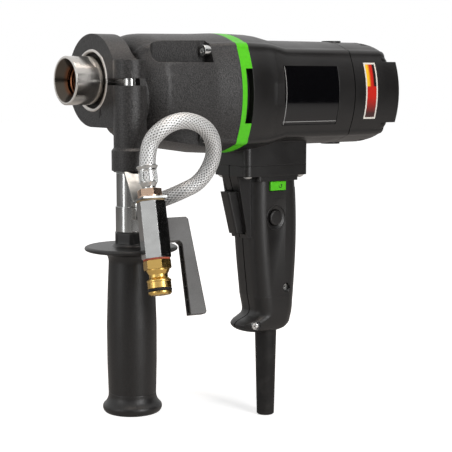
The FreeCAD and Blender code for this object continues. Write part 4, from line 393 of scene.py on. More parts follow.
def moulded_nylon(name="moulded_glass_filled_nylon", colour=None, grain=1.0, seam=None):
    """Black nylon moulded in a spark-eroded tool: even satin, with a very fine grain and a dark parting line
    on the plane that seam gives as an axis and a position."""
    base = colour or colours().moulding
    material, tree, shader, place = start_material(name, Specular_IOR_Level=0.42)
    size = sizes().moulding_grit * grain
    fine = mottled(tree, place, size, 2.0)
    cloud = mottled(tree, place, 22 * MM, 2.0, 3.0)
    tint = blend_colour(tree, remap(tree, fine, 0.35, 0.65, 0, 1), shade(base, 0.86), shade(base, 1.22))
    if seam:
        line = near_plane(tree, place, *seam, 0.45 * MM)
        tint = cover(tree, line, tint, "#000000")
        tree.links.new(remap(tree, line, 0, 1, 0.42, 0.0), shader.inputs["Specular IOR Level"])
    tree.links.new(tint, shader.inputs["Base Color"])
    tree.links.new(remap(tree, cloud, 0.3, 0.7, 0.36, 0.46), shader.inputs["Roughness"])
    rough_surface(tree, shader, fine, size * 0.10, 0.6, sizes().edge)
    return material


def grip_rubber():
    """Soft black rubber with a grained surface, dull except for a broad sheen."""
    base = colours().grip
    material, tree, shader, place = start_material("grained_rubber", Roughness=0.4, Specular_IOR_Level=0.4)
    grain = 0.8 * MM
    fine = mottled(tree, place, grain, 2.0)
    tint = blend_colour(tree, remap(tree, fine, 0.36, 0.66, 0, 1), shade(base, 0.75), shade(base, 1.6))
    tree.links.new(tint, shader.inputs["Base Color"])
    rough_surface(tree, shader, fine, grain * 0.15, 0.8, 0.2 * MM)
    return material


def plain_rubber():
    """Smooth black rubber of seals, rings and the cable sleeve, a little dusty."""
    material, tree, shader, place = start_material("smooth_rubber", Roughness=0.6, Specular_IOR_Level=0.22)
    dust = mottled(tree, place, 9 * MM, 5.0)
    tint = blend_colour(tree, remap(tree, dust, 0.42, 0.75, 0, 1), linear("#191818"), linear("#2c2b2a"))
    tree.links.new(tint, shader.inputs["Base Color"])
    rough_surface(tree, shader, mottled(tree, place, 0.6 * MM), 0.05 * MM, 0.5)
    return material


def enamel():
    """Bright green stoved enamel, satin with a slight orange peel."""
    base = colours().flange
    material, tree, shader, place = start_material("green_enamel", Roughness=0.42, Specular_IOR_Level=0.3)
    peel = mottled(tree, place, 2.4 * MM, 1.0)
    tint = blend_colour(tree, remap(tree, peel, 0.3, 0.7, 0, 1), shade(base, 0.94), shade(base, 1.05))
    tree.links.new(tint, shader.inputs["Base Color"])
    rough_surface(tree, shader, peel, 0.06 * MM, 0.4, sizes().edge)
    return material


def turned_metal(name, hex_colour, roughness, ring=0.35, axis=0, dark=0.72):
    """Metal turned on a lathe: rings of fine tool marks square to its axis."""
    base = linear(hex_colour)
    material, tree, shader, place = start_material(name, Metallic=1.0, Anisotropic=0.4)
    apart = add_node(tree, "SeparateXYZ", None, {0: place}).outputs[axis]
    rings = add_node(tree, "TexNoise", {"noise_dimensions": "1D", "Scale": 1 / (ring * MM), "Detail": 3.0},
                     {"W": apart}).outputs["Fac"]
    worn = mottled(tree, place, 7 * MM, 4.0)
    tint = blend_colour(tree, remap(tree, rings, 0.3, 0.7, 0, 1), shade(base, dark), base)
    tree.links.new(tint, shader.inputs["Base Color"])
    tree.links.new(remap(tree, worn, 0.3, 0.7, roughness * 0.8, roughness * 1.3), shader.inputs["Roughness"])
    rough_surface(tree, shader, rings, 0.004 * MM, 0.5, 0.3 * MM)
    return material


def spindle_steel():
    """Turned steel, with painted shade of dark grey over its countersunk mouth, and browned by heat and oil in
    the threaded bore inside it.
    """
    material = turned_metal("turned_steel", "#c9c5c0", 0.2, dark=0.85)
    tree = material.node_tree
    shader = tree.nodes["Principled BSDF"]
    plain = shader.inputs["Base Color"].links[0].from_socket
    place = add_node(tree, "TexCoord").outputs["Object"]
    flat = add_node(tree, "VectorMath", {"operation": "MULTIPLY", 1: (0, 1, 1)}, {0: place}).outputs[0]
    radius = add_node(tree, "VectorMath", {"operation": "LENGTH"}, {0: flat}).outputs["Value"]
    # Painted shade: inside a radius of about 15 mm the countersunk mouth is covered in dark grey, standing in
    # for the shade that falls in it
    mouth = remap(tree, radius, 0.0146, 0.0152, 1, 0)
    grey = cover(tree, mouth, plain, "#4d4740")
    inner = remap(tree, radius, 0.0098, 0.0114, 1, 0)
    tree.links.new(cover(tree, inner, grey, "#5c3b28"), shader.inputs["Base Color"])
    return material


def plated_metal(name, hex_colour, roughness, blotch=6.0, dark=0.8):
    """Plated metal: bright, with faint clouds left by the bath."""
    base = linear(hex_colour)
    material, tree, shader, place = start_material(name, Metallic=1.0)
    cloud = mottled(tree, place, blotch * MM, 4.0)
    tint = blend_colour(tree, remap(tree, cloud, 0.32, 0.68, 0, 1), shade(base, dark), base)
    tree.links.new(tint, shader.inputs["Base Color"])
    tree.links.new(remap(tree, cloud, 0.3, 0.7, roughness * 1.3, roughness * 0.8), shader.inputs["Roughness"])
    rough_surface(tree, shader, mottled(tree, place, 1.2 * MM), 0.008 * MM, 0.4, 0.4 * MM)
    return material


def braided_wire():
    """Stainless wire braid: bright strands, darker the lower the braid's surface lies, partly the inner tube's
    black in the gaps and partly painted shade where a strand dips under the next, each strand made of a few
    fine wires.
    """
    base = colours().braid
    material, tree, shader, place = start_material("stainless_braid", Metallic=0.5, Roughness=0.4)
    depth = add_node(tree, "Attribute", {"attribute_name": "weave"}).outputs["Fac"]
    wires = add_node(tree, "Attribute", {"attribute_name": "wires"}).outputs["Fac"]
    # Inner tube's colour with painted shade: the lower the weave, the nearer to dark grey, so the gaps show
    # dark and strands darken as they dip under
    tint = blend_colour(tree, remap(tree, depth, 0.05, 0.5, 0, 1), linear("#232323"), base)
    tree.links.new(tint, shader.inputs["Base Color"])
    rough_surface(tree, shader, wires, 0.06 * MM, 0.6)
    return material


def gloss_acrylic():
    """Black acrylic plate, polished, with a trace of fine dust marks and two painted highlight lines near its
    left and bottom edges.
    """
    material, tree, shader, place = start_material("gloss_acrylic", Base_Color=linear("#08080a"), IOR=1.49)
    haze = mottled(tree, place, 14 * MM, 5.0)
    tree.links.new(remap(tree, haze, 0.35, 0.7, 0.06, 0.14), shader.inputs["Roughness"])
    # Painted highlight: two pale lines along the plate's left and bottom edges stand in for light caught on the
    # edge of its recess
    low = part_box("label_plates")[0]
    lines = [near_plane(tree, place, 0, low[0] + 1.6 * MM, 0.28 * MM),
             near_plane(tree, place, 2, low[2] + 2.2 * MM, 0.28 * MM)]
    line = math_node(tree, "MAXIMUM", *lines)
    tint = blend_colour(tree, line, linear("#08080a"), linear("#8d8d8d"))
    tree.links.new(tint, shader.inputs["Base Color"])
    return material


def printed_film():
    """Laminated paper sticker: white edge, a red field darker below and a yellow to black flash above."""
    material, tree, shader, place = start_material("laminated_paper", Roughness=0.3)
    low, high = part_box("side_sticker")
    middle = (np.array(low) + np.array(high)) / 2
    apart = add_node(tree, "SeparateXYZ", None, {0: place})
    border = 1.3 * MM
    masks = [near_plane(tree, place, axis, middle[axis], (high[axis] - low[axis]) / 2 - border)
             for axis in (0, 2)]
    inside = math_node(tree, "MULTIPLY", *masks)
    level = remap(tree, apart.outputs[2], float(low[2]), float(high[2]), 0, 1)
    side = remap(tree, apart.outputs[0], float(low[0]), float(high[0]), 0, 1)
    lower = blend_colour(tree, remap(tree, level, 0.1, 0.4, 0, 1), linear("#3a1512"), linear("#c4261b"))
    left = blend_colour(tree, remap(tree, side, 0.25, 0.45, 0, 1), linear("#f2c12e"), linear("#c4261b"))
    right = cover(tree, remap(tree, side, 0.6, 0.72, 0, 1), left, "#1d1413")
    upper = math_node(tree, "GREATER_THAN", level, 0.58)
    banded = add_node(tree, "Mix", {"data_type": "RGBA"}, {0: upper, 6: lower, 7: right}).outputs[2]
    edge = add_node(tree, "Mix", {"data_type": "RGBA", 6: (*linear("#dcd8d0"), 1)}, {0: inside, 7: banded})
    tree.links.new(edge.outputs[2], shader.inputs["Base Color"])
    return material


def pressed_fibre():
    """Red-brown vulcanised fibre of the lower gasket, flecked, and tan fibre of the upper one."""
    material, tree, shader, place = start_material("vulcanised_fibre", Roughness=0.7)
    fleck = mottled(tree, place, 0.9 * MM, 3.0)
    red = blend_colour(tree, remap(tree, fleck, 0.3, 0.7, 0, 1), linear("#7a2f1c"), linear("#b4533a"))
    low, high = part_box("fibre_gaskets")
    height = add_node(tree, "SeparateXYZ", None, {0: place}).outputs[2]
    upper = math_node(tree, "GREATER_THAN", height, float(low[2] + high[2]) / 2)
    tree.links.new(cover(tree, upper, red, "#8d7a5c"), shader.inputs["Base Color"])
    rough_surface(tree, shader, fleck, 0.08 * MM, 0.6)
    return material


def enamelled_wire():
    """Enamelled copper wire, wound in layers along the coil."""
    material, tree, shader, place = start_material("enamelled_copper", Metallic=0.8, Roughness=0.35)
    wire = add_node(tree, "TexWave", {"wave_type": "BANDS", "bands_direction": "DIAGONAL", "Scale": 160.0,
                                      "Distortion": 1.5}, {"Vector": place}).outputs["Fac"]
    tint = blend_colour(tree, wire, linear("#5e2a12"), linear("#b5672f"))
    tree.links.new(tint, shader.inputs["Base Color"])
    rough_surface(tree, shader, wire, 0.2 * MM, 0.8)
    return material


def laminated_steel():
    """Stack of electrical steel sheets, half a millimetre each, seen edge on."""
    material, tree, shader, place = start_material("laminated_steel", Metallic=0.9, Roughness=0.5)
    sheets = add_node(tree, "TexWave", {"wave_type": "BANDS", "bands_direction": "X", "Scale": 500.0,
                                        "Distortion": 0.4}, {"Vector": place}).outputs["Fac"]
    tint = blend_colour(tree, sheets, linear("#3a3a3d"), linear("#77777a"))
    tree.links.new(tint, shader.inputs["Base Color"])
    rough_surface(tree, shader, sheets, 0.08 * MM, 0.8)
    return material


def pressed_carbon():
    """Pressed carbon of the brushes, dull black with a graphite fleck."""
    material, tree, shader, place = start_material("pressed_carbon", Roughness=0.75)
    fleck = mottled(tree, place, 0.5 * MM, 4.0)
    tint = blend_colour(tree, remap(tree, fleck, 0.4, 0.7, 0, 1), linear("#151515"), linear("#3d3d3f"))
    tree.links.new(tint, shader.inputs["Base Color"])
    return material


def soft_white():
    """White fluoropolymer of the valve seats, waxy and slightly clouded."""
    material, tree, shader, place = start_material("fluoropolymer", Roughness=0.45, Subsurface_Weight=0.1)
    cloud = mottled(tree, place, 4 * MM, 3.0)
    tint = blend_colour(tree, cloud, linear("#d9d7d0"), linear("#f1efe8"))
    tree.links.new(tint, shader.inputs["Base Color"])
    return material


# Each material slot of the rig, with the finish that it gets
FINISHES = {
    "cast_black": powder_coat,
    "bright_steel": spindle_steel,
    "black_rubber": plain_rubber,
    # Ground, with fine bright rings
    "bearing_steel": lambda: turned_metal("ground_bearing_steel", "#c2c2c2", 0.2),
    # Dull, clouded casting skin
    "cast_aluminium": lambda: plated_metal("cast_aluminium", "#b4b5b6", 0.5, 2.0),
    # Bright, slightly clouded zinc
    "screw_steel": lambda: plated_metal("zinc_plated_screw", "#d2d3d2", 0.22),
    "green_paint": enamel,
    "lamination_steel": laminated_steel,
    "copper_winding": enamelled_wire,
    "black_plastic": moulded_nylon,
    "gloss_black": gloss_acrylic,
    "sticker_red": printed_film,
    # Yellow, with visible turning rings
    "brass": lambda: turned_metal("turned_brass", "#cdaa62", 0.24, 0.5, 2, 0.85),
    "carbon": pressed_carbon,
    # Near mirror, a little greyed
    "chrome": lambda: plated_metal("chromed_steel", "#b9bab9", 0.16, 8.0, 0.88),
    "braided_steel": braided_wire,
    # Grey, with hobbing marks
    "gear_steel": lambda: turned_metal("hobbed_gear_steel", "#9a9a98", 0.3),
    # Skimmed copper
    "copper_bars": lambda: turned_metal("turned_copper", "#c9824f", 0.3),
    "green_plastic": enamel,
    # Spangled grey sheet
    "zinc_sheet": lambda: plated_metal("zinc_plated_sheet", "#989a99", 0.32, 7.0, 0.6),
    "white_ptfe": soft_white,
    # Coarser grain than the housings
    "grey_plastic": lambda: moulded_nylon("moulded_grey_nylon", colours().lever, 1.4),
    "fibre": pressed_fibre,
    # Pinkish thin plating
    "copper_nut": lambda: turned_metal("coppered_brass", "#bfa48f", 0.25, 0.5, 2, 0.85),
}
MADE = {}


def finish_for(slot):
    """The material of a slot, made once."""
    if slot not in MADE:
        MADE[slot] = FINISHES[slot]()
    return MADE[slot]


# Meshes

def place_piece(name, mesh, body, slot, replaced=(), material=None):
    """Put a mesh into the scene as a piece that rides on a body, if one is named, and takes a slot's finish."""
    piece = bpy.data.objects.new(name, mesh)
    bpy.context.scene.collection.objects.link(piece)
    mesh.materials.clear()
    mesh.materials.append(material or finish_for(slot))
    if body:
        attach(piece, body)
    if replaced:
        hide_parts(*replaced)
    return piece


def mesh_from(name, points, faces):
    """Plain mesh of points and faces."""
    mesh = bpy.data.meshes.new(name)
    mesh.from_pydata(points.reshape(-1, 3).tolist(), [], faces.tolist())
    mesh.update()
    return mesh


def grid_faces(rows, columns, wrap_rows=False, wrap_columns=False):
    """Quads that join each point of a grid to its neighbours, wrapped round where asked."""
    row_marks = np.arange(rows if wrap_rows else rows - 1)
    column_marks = np.arange(columns if wrap_columns else columns - 1)
    r, c = np.meshgrid(row_marks, column_marks, indexing="ij")
    r1 = (r + 1) % rows
    c1 = (c + 1) % columns
    return np.stack([r * columns + c, r * columns + c1, r1 * columns + c1, r1 * columns + c], -1).reshape(-1, 4)


def tidy_mesh(mesh, outward=True, sharp=35.0):
    """Close seams and poles, point the faces outwards, and shade smooth except at sharp edges."""
    work = bmesh.new()
    work.from_mesh(mesh)
    bmesh.ops.remove_doubles(work, verts=work.verts, dist=0.001 * MM)
    if outward:
        bmesh.ops.recalc_face_normals(work, faces=work.faces)
    work.to_mesh(mesh)
    work.free()
    mesh.shade_smooth()
    mesh.set_sharp_from_angle(angle=math.radians(sharp))
    return mesh


def merged_copy(node, name, sharp=28.0, keep_above=None):
    """A CAD node's triangles with their shared corners merged and flat areas made single faces. Where
    keep_above is a height, what lies under it is cut away."""
    source = frame["nodes"][node].data
    points = np.empty(len(source.vertices) * 3)
    source.vertices.foreach_get("co", points)
    corners = np.empty(len(source.loops), dtype=int)
    source.loops.foreach_get("vertex_index", corners)
    rounded = np.round(points.reshape(-1, 3) / (0.001 * MM)).astype(np.int64)
    _, first, where = np.unique(rounded, axis=0, return_index=True, return_inverse=True)
    faces = where.reshape(-1)[corners].reshape(-1, 3)
    whole = (faces[:, 0] != faces[:, 1]) & (faces[:, 1] != faces[:, 2]) & (faces[:, 2] != faces[:, 0])
    mesh = mesh_from(name, points.reshape(-1, 3)[first], faces[whole])
    work = bmesh.new()
    work.from_mesh(mesh)
    if keep_above is not None:
        whole = work.verts[:] + work.edges[:] + work.faces[:]
        bmesh.ops.bisect_plane(work, geom=whole, plane_co=(0, 0, keep_above), plane_no=(0, 0, -1),
                               clear_outer=True)
    bmesh.ops.dissolve_limit(work, angle_limit=math.radians(0.3), verts=work.verts, edges=work.edges)
    work.to_mesh(mesh)
    work.free()
    mesh.shade_smooth()
    mesh.set_sharp_from_angle(angle=math.radians(sharp))
    return mesh


def dress(node, name, sharp=28.0, rounding=0.0, material=None, keep_above=None):
    """Replace a CAD node by its merged copy, with its edges rounded where asked."""
    mesh = merged_copy(node, name, sharp, keep_above)
    piece = place_piece(name, mesh, BODY_OF[node], SLOT_OF[node], [node], material)
    if rounding:
        bevel = piece.modifiers.new("rounded_edges", "BEVEL")
        bevel.width = rounding
        bevel.segments = 2
        bevel.limit_method = "ANGLE"
        bevel.angle_limit = math.radians(40)
        bevel.use_clamp_overlap = True
        bevel.harden_normals = True
    return piece


def finish_nodes(nodes):
    """Give CAD nodes that keep their shape the material of their slot."""
    for node in nodes:
        mesh = frame["nodes"][node].data
        mesh.materials.clear()
        mesh.materials.append(finish_for(SLOT_OF[node]))


def unit(vector):
    """Vector, or array of vectors, of length one."""
    return vector / np.linalg.norm(vector, axis=-1, keepdims=True)


def lathe(name, radius, height, base, axis, side, turns=96, swell=None):
    """Surface of revolution: radius and height along a profile, turned about an axis from a base point.
    swell(angle, height) multiplies the radius, so the section need not be round."""
    angle = np.linspace(0, 2 * math.pi, turns, endpoint=False)
    across = np.cross(axis, side)
    out = np.cos(angle)[None, :, None] * side + np.sin(angle)[None, :, None] * across
    r = np.repeat(radius[:, None], turns, axis=1)
    if swell is not None:
        r = r * swell(angle[None, :], height[:, None])
    points = base + height[:, None, None] * axis + r[:, :, None] * out
    return mesh_from(name, points, grid_faces(len(radius), turns, wrap_columns=True))


def smooth_profile(corners, radius, steps=6):
    """Profile through corners, each rounded by a quadratic curve that starts radius before it and ends as far
    after it."""
    corners = np.array(corners, dtype=float)
    before = unit(corners[:-2] - corners[1:-1])
    after = unit(corners[2:] - corners[1:-1])
    reach = np.minimum(np.linalg.norm(corners[1:-1] - corners[:-2], axis=1),
                       np.linalg.norm(corners[2:] - corners[1:-1], axis=1)) * 0.48
    reach = np.minimum(reach, radius)[:, None]
    start = corners[1:-1] + before * reach
    end = corners[1:-1] + after * reach
    t = np.linspace(0, 1, steps)[None, :, None]
    curve = (1 - t) ** 2 * start[:, None] + 2 * t * (1 - t) * corners[1:-1, None] + t ** 2 * end[:, None]
    return np.vstack([corners[:1], curve.reshape(-1, 2), corners[-1:]])


def fill(profile, step):
    """Add points along a profile so that no piece of it is longer than step."""
    lengths = np.linalg.norm(np.diff(profile, axis=0), axis=1)
    counts = np.maximum(1, np.ceil(lengths / step).astype(int))
    along = np.concatenate([np.arange(n) / n + k for k, n in enumerate(counts)] + [[len(counts)]])
    marks = np.arange(len(profile))
    return np.stack([np.interp(along, marks, profile[:, 0]), np.interp(along, marks, profile[:, 1])], -1)


# Foot of the pistol handle

def through(rows, steps):
    """Smooth curve through rows of values: the cubic that leaves each row along the line between its
    neighbours."""
    padded = np.vstack([2 * rows[0] - rows[1], rows, 2 * rows[-1] - rows[-2]])
    p0, p1, p2, p3 = (padded[k:len(padded) - 3 + k, None] for k in range(4))
    t = np.linspace(0, 1, steps, endpoint=False)[None, :, None]
    curve = 0.5 * (2 * p1 + (p2 - p0) * t + (2 * p0 - 5 * p1 + 4 * p2 - p3) * t ** 2
                   + (3 * p1 - p0 - 3 * p2 + p3) * t ** 3)
    return np.vstack([curve.reshape(-1, rows.shape[1]), rows[-1:]])


def handle_foot(shell, material):
    """Foot of the handle as stacked rounded rectangles whose front corners swell into a round toe: the
    shell's own section where it joins, then the listed ones, each corner a quarter circle."""
    points = np.empty(len(shell.data.vertices) * 3)
    shell.data.vertices.foreach_get("co", points)
    points = points.reshape(-1, 3)
    edge = points[np.abs(points[:, 2] - FOOT_TOP) < 0.01 * MM]
    if not len(edge):
        raise RuntimeError("The handle's shell has no corners at the top of the foot")
    front, rear, half = edge[:, 0].min() / MM, edge[:, 0].max() / MM, np.abs(edge[:, 1]).max() / MM
    first = (FOOT_TOP / MM, front, rear, half, FOOT_CORNER_R, FOOT_CORNER_R)
    rows = through(np.array([first] + FOOT_SECTIONS), FOOT_STEPS) * MM
    z, x0, x1, half, front_r, rear_r = (rows[:, k, None] for k in range(6))
    quarter = np.linspace(0, math.pi / 2, 16)[None, :]
    corners = []
    sides = [(rear_r, 1, 1), (front_r, -1, 1), (front_r, -1, -1), (rear_r, 1, -1)]
    for k, (radius, side_x, side_y) in enumerate(sides):
        angle = quarter + k * math.pi / 2
        centre_x = x1 - radius if side_x > 0 else x0 + radius
        x = centre_x + radius * np.cos(angle)
        y = side_y * (half - radius) + radius * np.sin(angle)
        corners.append(np.stack([x, y, np.broadcast_to(z, x.shape)], -1))
    grid = np.concatenate(corners, axis=1)
    middle = grid.mean(axis=1, keepdims=True)[[0, -1]]
    ends = np.broadcast_to(middle, (2, grid.shape[1], 3))
    grid = np.concatenate([ends[:1], grid, ends[1:]])
    mesh = mesh_from("handle_foot", grid, grid_faces(*grid.shape[:2], wrap_columns=True))
    place_piece("handle_foot", tidy_mesh(mesh), BODY_OF["handle_shell_left"], "black_plastic", (), material)


def foot_screw():
    """Screw in the foot's left side: a turned ring that lines its hole, and a turned head."""
    aim = unit(FOOT_SCREW_AIM)
    for name, profile, body, slot in (
            ("foot_screw_hole", SCREW_HOLE_PROFILE, BODY_OF["handle_shell_left"], "black_plastic"),
            ("foot_screw_head", SCREW_HEAD_PROFILE, BODY_OF["handle_shell_screws"], "screw_steel")):
        radius, height = np.array(profile).T * MM
        place_piece(name, tidy_mesh(lathe(name, radius, height, FOOT_SCREW_SEAT, aim, Z_WAY, 40)), body, slot)


def button_rim():
    """Rim round the lock button: a small oval section turned about the button's axis."""
    low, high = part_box("lock_button")
    turn = np.linspace(0, 2 * math.pi, 13)
    centre = np.array([(low[0] + high[0]) / 2, -HANDLE_HALF, (low[2] + high[2]) / 2])
    mesh = lathe("lock_button_rim", RIM_R + RIM_ACROSS * np.cos(turn), RIM_PROUD * np.sin(turn), centre, -Y_WAY,
                 X_WAY, 64)
    place_piece("lock_button_rim", tidy_mesh(mesh, sharp=60), BODY_OF["handle_shell_left"], "black_plastic")


# Hose

def hose_route():
    """The hose's listed points, from the socket of the inlet ferrule to the socket of the valve's."""
    start = np.array([[INLET_X, 0, INLET_TOP - FERRULE_SOCKET]])
    leave = VALVE_TOP + VALVE_UP * (FERRULE_BASE + FERRULE_LENGTH + HOSE_EXIT_RUN)
    end = VALVE_TOP + VALVE_UP * (FERRULE_BASE + FERRULE_SOCKET)
    return np.vstack([start, HOSE_MIDDLE, leave[None], end[None]])


def smooth_line(points, step):
    """Read a route's smooth spline and space points evenly along it, step apart."""
    curve = bpy.data.curves.new("route", "CURVE")
    curve.dimensions = "3D"
    curve.resolution_u = 32
    spline = curve.splines.new("NURBS")
    spline.points.add(len(points) - 1)
    spline.points.foreach_set("co", np.hstack([points, np.ones((len(points), 1))]).reshape(-1))
    spline.order_u = 3
    spline.use_endpoint_u = True
    holder = bpy.data.objects.new("route", curve)
    mesh = bpy.data.meshes.new_from_object(holder)
    line = np.empty(len(mesh.vertices) * 3)
    mesh.vertices.foreach_get("co", line)
    line = line.reshape(-1, 3)
    bpy.data.meshes.remove(mesh)
    bpy.data.objects.remove(holder)
    bpy.data.curves.remove(curve)
    along = np.concatenate([[0], np.cumsum(np.linalg.norm(np.diff(line, axis=0), axis=1))])
    marks = np.linspace(0, along[-1], int(along[-1] / step) + 1)
    return np.stack([np.interp(marks, along, line[:, k]) for k in range(3)], -1), marks


def carried_frames(line):
    """Directions across a line that don't twist about it: a fixed reference made square to the line,
    turned back by the twist that it gathers along the way."""
    forward = unit(np.gradient(line, axis=0))
    reference = unit(np.array([1.0, 1.0, 1.0]))
    across = unit(reference - (forward @ reference)[:, None] * forward)
    third = np.cross(forward, across)
    twist = -np.cumsum(np.sum(third * np.gradient(across, axis=0), axis=1))[:, None]
    return across * np.cos(twist) + third * np.sin(twist), third * np.cos(twist) - across * np.sin(twist)


def braid_height(round_share, along_share):
    """Height of a plain weave of two sets of strands that cross on the slant: each strand is a rounded ridge
    that rises over one crossing and dips under the next. Returns the height and the wire lines in a strand."""
    a = round_share + along_share
    b = round_share - along_share

    def ridge(t):
        offset = 2 * (t - np.floor(t)) - 1
        return np.sqrt(np.clip(1 - (offset / 0.62) ** 2, 0, 1))

    over_a = 0.62 + 0.38 * np.where(np.floor(a) % 2 == 0, 1, -1) * np.sin(math.pi * b)
    over_b = 0.62 - 0.38 * np.where(np.floor(b) % 2 == 0, 1, -1) * np.sin(math.pi * a)
    height_a = ridge(a) * over_a
    height_b = ridge(b) * over_b
    lines = np.where(height_a > height_b, np.cos(2 * math.pi * 4 * a), np.cos(2 * math.pi * 4 * b))
    return np.maximum(height_a, height_b), lines


class RIG_OT_hose(bpy.types.Operator):
    """Make the braided water hose: a woven surface carried along the hose's smooth route"""
    bl_idname = "rig.hose"
    bl_label = "Braided Hose"

    def execute(self, context):
        size = sizes()
        line, marks = smooth_line(hose_route(), 0.28 * MM)
        across, third = carried_frames(line)
        around = 84
        angle = np.linspace(0, 2 * math.pi, around, endpoint=False)
        weave, wires = braid_height(size.braid_strands * angle[None, :] / (2 * math.pi),
                                    marks[:, None] / size.braid_cell)
        radius = HOSE_R - size.braid_rise * (1 - weave)
        out = np.cos(angle)[None, :, None] * across[:, None] + np.sin(angle)[None, :, None] * third[:, None]
        points = line[:, None] + radius[:, :, None] * out
        mesh = mesh_from("braided_hose", points, grid_faces(len(line), around, wrap_columns=True))
        for label, values in (("weave", weave), ("wires", wires)):
            layer = mesh.attributes.new(label, "FLOAT", "POINT")
            layer.data.foreach_set("value", values.reshape(-1).astype(np.float32))
        mesh.shade_smooth()
        hose = place_piece("braided_hose", mesh, None, SLOT_OF["water_hose"], ["water_hose"])
        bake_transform(hose)
        return {"FINISHED"}


# Ferrules

def crimped(angle, height, foot):
    """Six crimp flats round the ferrule's middle: long rounded windows pressed in, each over two thirds of a
    sixth."""
    share = (height - foot) / FERRULE_LENGTH
    along = np.clip((0.26 - np.abs(share - 0.53)) / 0.05, 0, 1)
    sector = (angle + math.pi / 6) % (math.pi / 3) - math.pi / 6
    round_share = np.clip((0.36 - np.abs(sector)) / 0.1, 0, 1)
    return 1 - 0.17 * (along * round_share) ** 0.7


class RIG_OT_ferrules(bpy.types.Operator):
    """Make the two crimped ferrules at the ends of the hose"""
    bl_idname = "rig.ferrules"
    bl_label = "Ferrules"

    def execute(self, context):
        profile = fill(smooth_profile(np.array(FERRULE_PROFILE) * MM, 0.5 * MM), 0.35 * MM)
        mesh = lathe("valve_ferrule_crimped", profile[:, 0], profile[:, 1] + FERRULE_BASE, VALVE_TOP, VALVE_UP,
                     VALVE_STEM, 128, lambda a, h: crimped(a, h, FERRULE_BASE))
        place_piece("valve_ferrule_crimped", tidy_mesh(mesh), BODY_OF["valve_ferrule"], "chrome",
                    ["valve_ferrule"])
        squeeze = INLET_LENGTH / FERRULE_LENGTH
        base = np.array([INLET_X, 0, INLET_TOP])
        mesh = lathe("inlet_ferrule_crimped", profile[:, 0], profile[:, 1] * squeeze, base, -Z_WAY, X_WAY, 128,
                     lambda a, h: crimped(a, h / squeeze, 0.0))
        place_piece("inlet_ferrule_crimped", tidy_mesh(mesh), BODY_OF["inlet_ferrule"], "chrome",
                    ["inlet_ferrule"])
        return {"FINISHED"}


# Spindle thread

class RIG_OT_spindle_thread(bpy.types.Operator):
    """Make the ridge of the pipe thread inside the spindle's mouth"""
    bl_idname = "rig.spindle_thread"
    bl_label = "Spindle Thread"

    def execute(self, context):
        size = sizes()
        bore = MOUNTS["spindle_thread"]["dims"]["r_mm"] * MM
        turns = (THREAD_END - THREAD_START) / size.thread_pitch - 1
        angle = np.linspace(0, 2 * math.pi * turns, int(72 * turns))
        fade = np.clip(np.minimum(angle, angle[-1] - angle) / math.pi, 0, 1)[:, None]
        across = THREAD_ACROSS * size.thread_pitch
        depth = np.array([-THREAD_SUNK, size.thread_depth, size.thread_depth, -THREAD_SUNK]) * fade
        x = THREAD_START + size.thread_pitch * (angle[:, None] / (2 * math.pi) + 0.5) + across
        radius = bore - depth
        points = np.stack([x, radius * np.cos(angle)[:, None], radius * np.sin(angle)[:, None]], -1)
        mesh = mesh_from("spindle_thread_ridge", points, grid_faces(len(angle), len(across), wrap_columns=True))
        place_piece("spindle_thread_ridge", tidy_mesh(mesh, sharp=25), BODY_OF["spindle"], SLOT_OF["spindle"])
        return {"FINISHED"}


# Side grip

def nub_section(angle, height):
    """Six flats on the nub above the guard disc, round everywhere below."""
    sector = (angle + math.pi / 6) % (math.pi / 3) - math.pi / 6
    hexagon = math.cos(math.pi / 6) * 1.06 / np.cos(sector)
    share = np.clip((height / MM - NUB_FOOT) / 0.6, 0, 1)
    return 1 + (np.minimum(hexagon, 1.0) - 1) * share


class RIG_OT_grip(bpy.types.Operator):
    """Make the side grip: a turned profile with a hexagonal nub, a guard disc and a flared end"""
    bl_idname = "rig.grip"
    bl_label = "Side Grip"

    def execute(self, context):
        profile = fill(smooth_profile(np.array(GRIP_PROFILE) * MM, 2.5 * MM, 8), 1.2 * MM)
        mesh = lathe("side_grip", profile[:, 0], profile[:, 1], GRIP_AXIS, Z_WAY, Y_WAY, 120, nub_section)
        place_piece("side_grip", tidy_mesh(mesh), BODY_OF["grip"], SLOT_OF["grip"], ["grip"], grip_rubber())
        return {"FINISHED"}


# Castings, mouldings and metal parts that keep their CAD shape

class RIG_OT_castings(bpy.types.Operator):
    """Dress the gearbox casting and the clamp ring in textured powder coat"""
    bl_idname = "rig.castings"
    bl_label = "Castings"

    def execute(self, context):
        dress("gearbox_housing", "gearbox_casting")
        dress("clamp_ring", "clamp_casting")
        return {"FINISHED"}


class RIG_OT_mouldings(bpy.types.Operator):
    """Dress the motor housing, rear cap, handle and controls in moulded nylon"""
    bl_idname = "rig.mouldings"
    bl_label = "Mouldings"

    def execute(self, context):
        for node in ("trigger", "lock_button", "brush_caps", "valve_lever"):
            dress(node, node + "_moulding")
        motor = moulded_nylon("motor_nylon", seam=(0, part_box("rear_cap")[0][0]))
        handle = moulded_nylon("handle_nylon", seam=(1, 0.0))
        for node in ("motor_housing", "rear_cap"):
            dress(node, node + "_moulding", material=motor)
        shells = [dress(node, node + "_moulding", material=handle, keep_above=FOOT_TOP)
                  for node in ("handle_shell_left", "handle_shell_right")]
        handle_foot(shells[0], handle)
        foot_screw()
        button_rim()
        return {"FINISHED"}


class RIG_OT_flange(bpy.types.Operator):
    """Dress the flange and the direction slider in green"""
    bl_idname = "rig.flange"
    bl_label = "Flange and Slider"

    def execute(self, context):
        dress("intermediate_flange", "green_flange")
        dress("direction_slider", "green_slider")
        return {"FINISHED"}


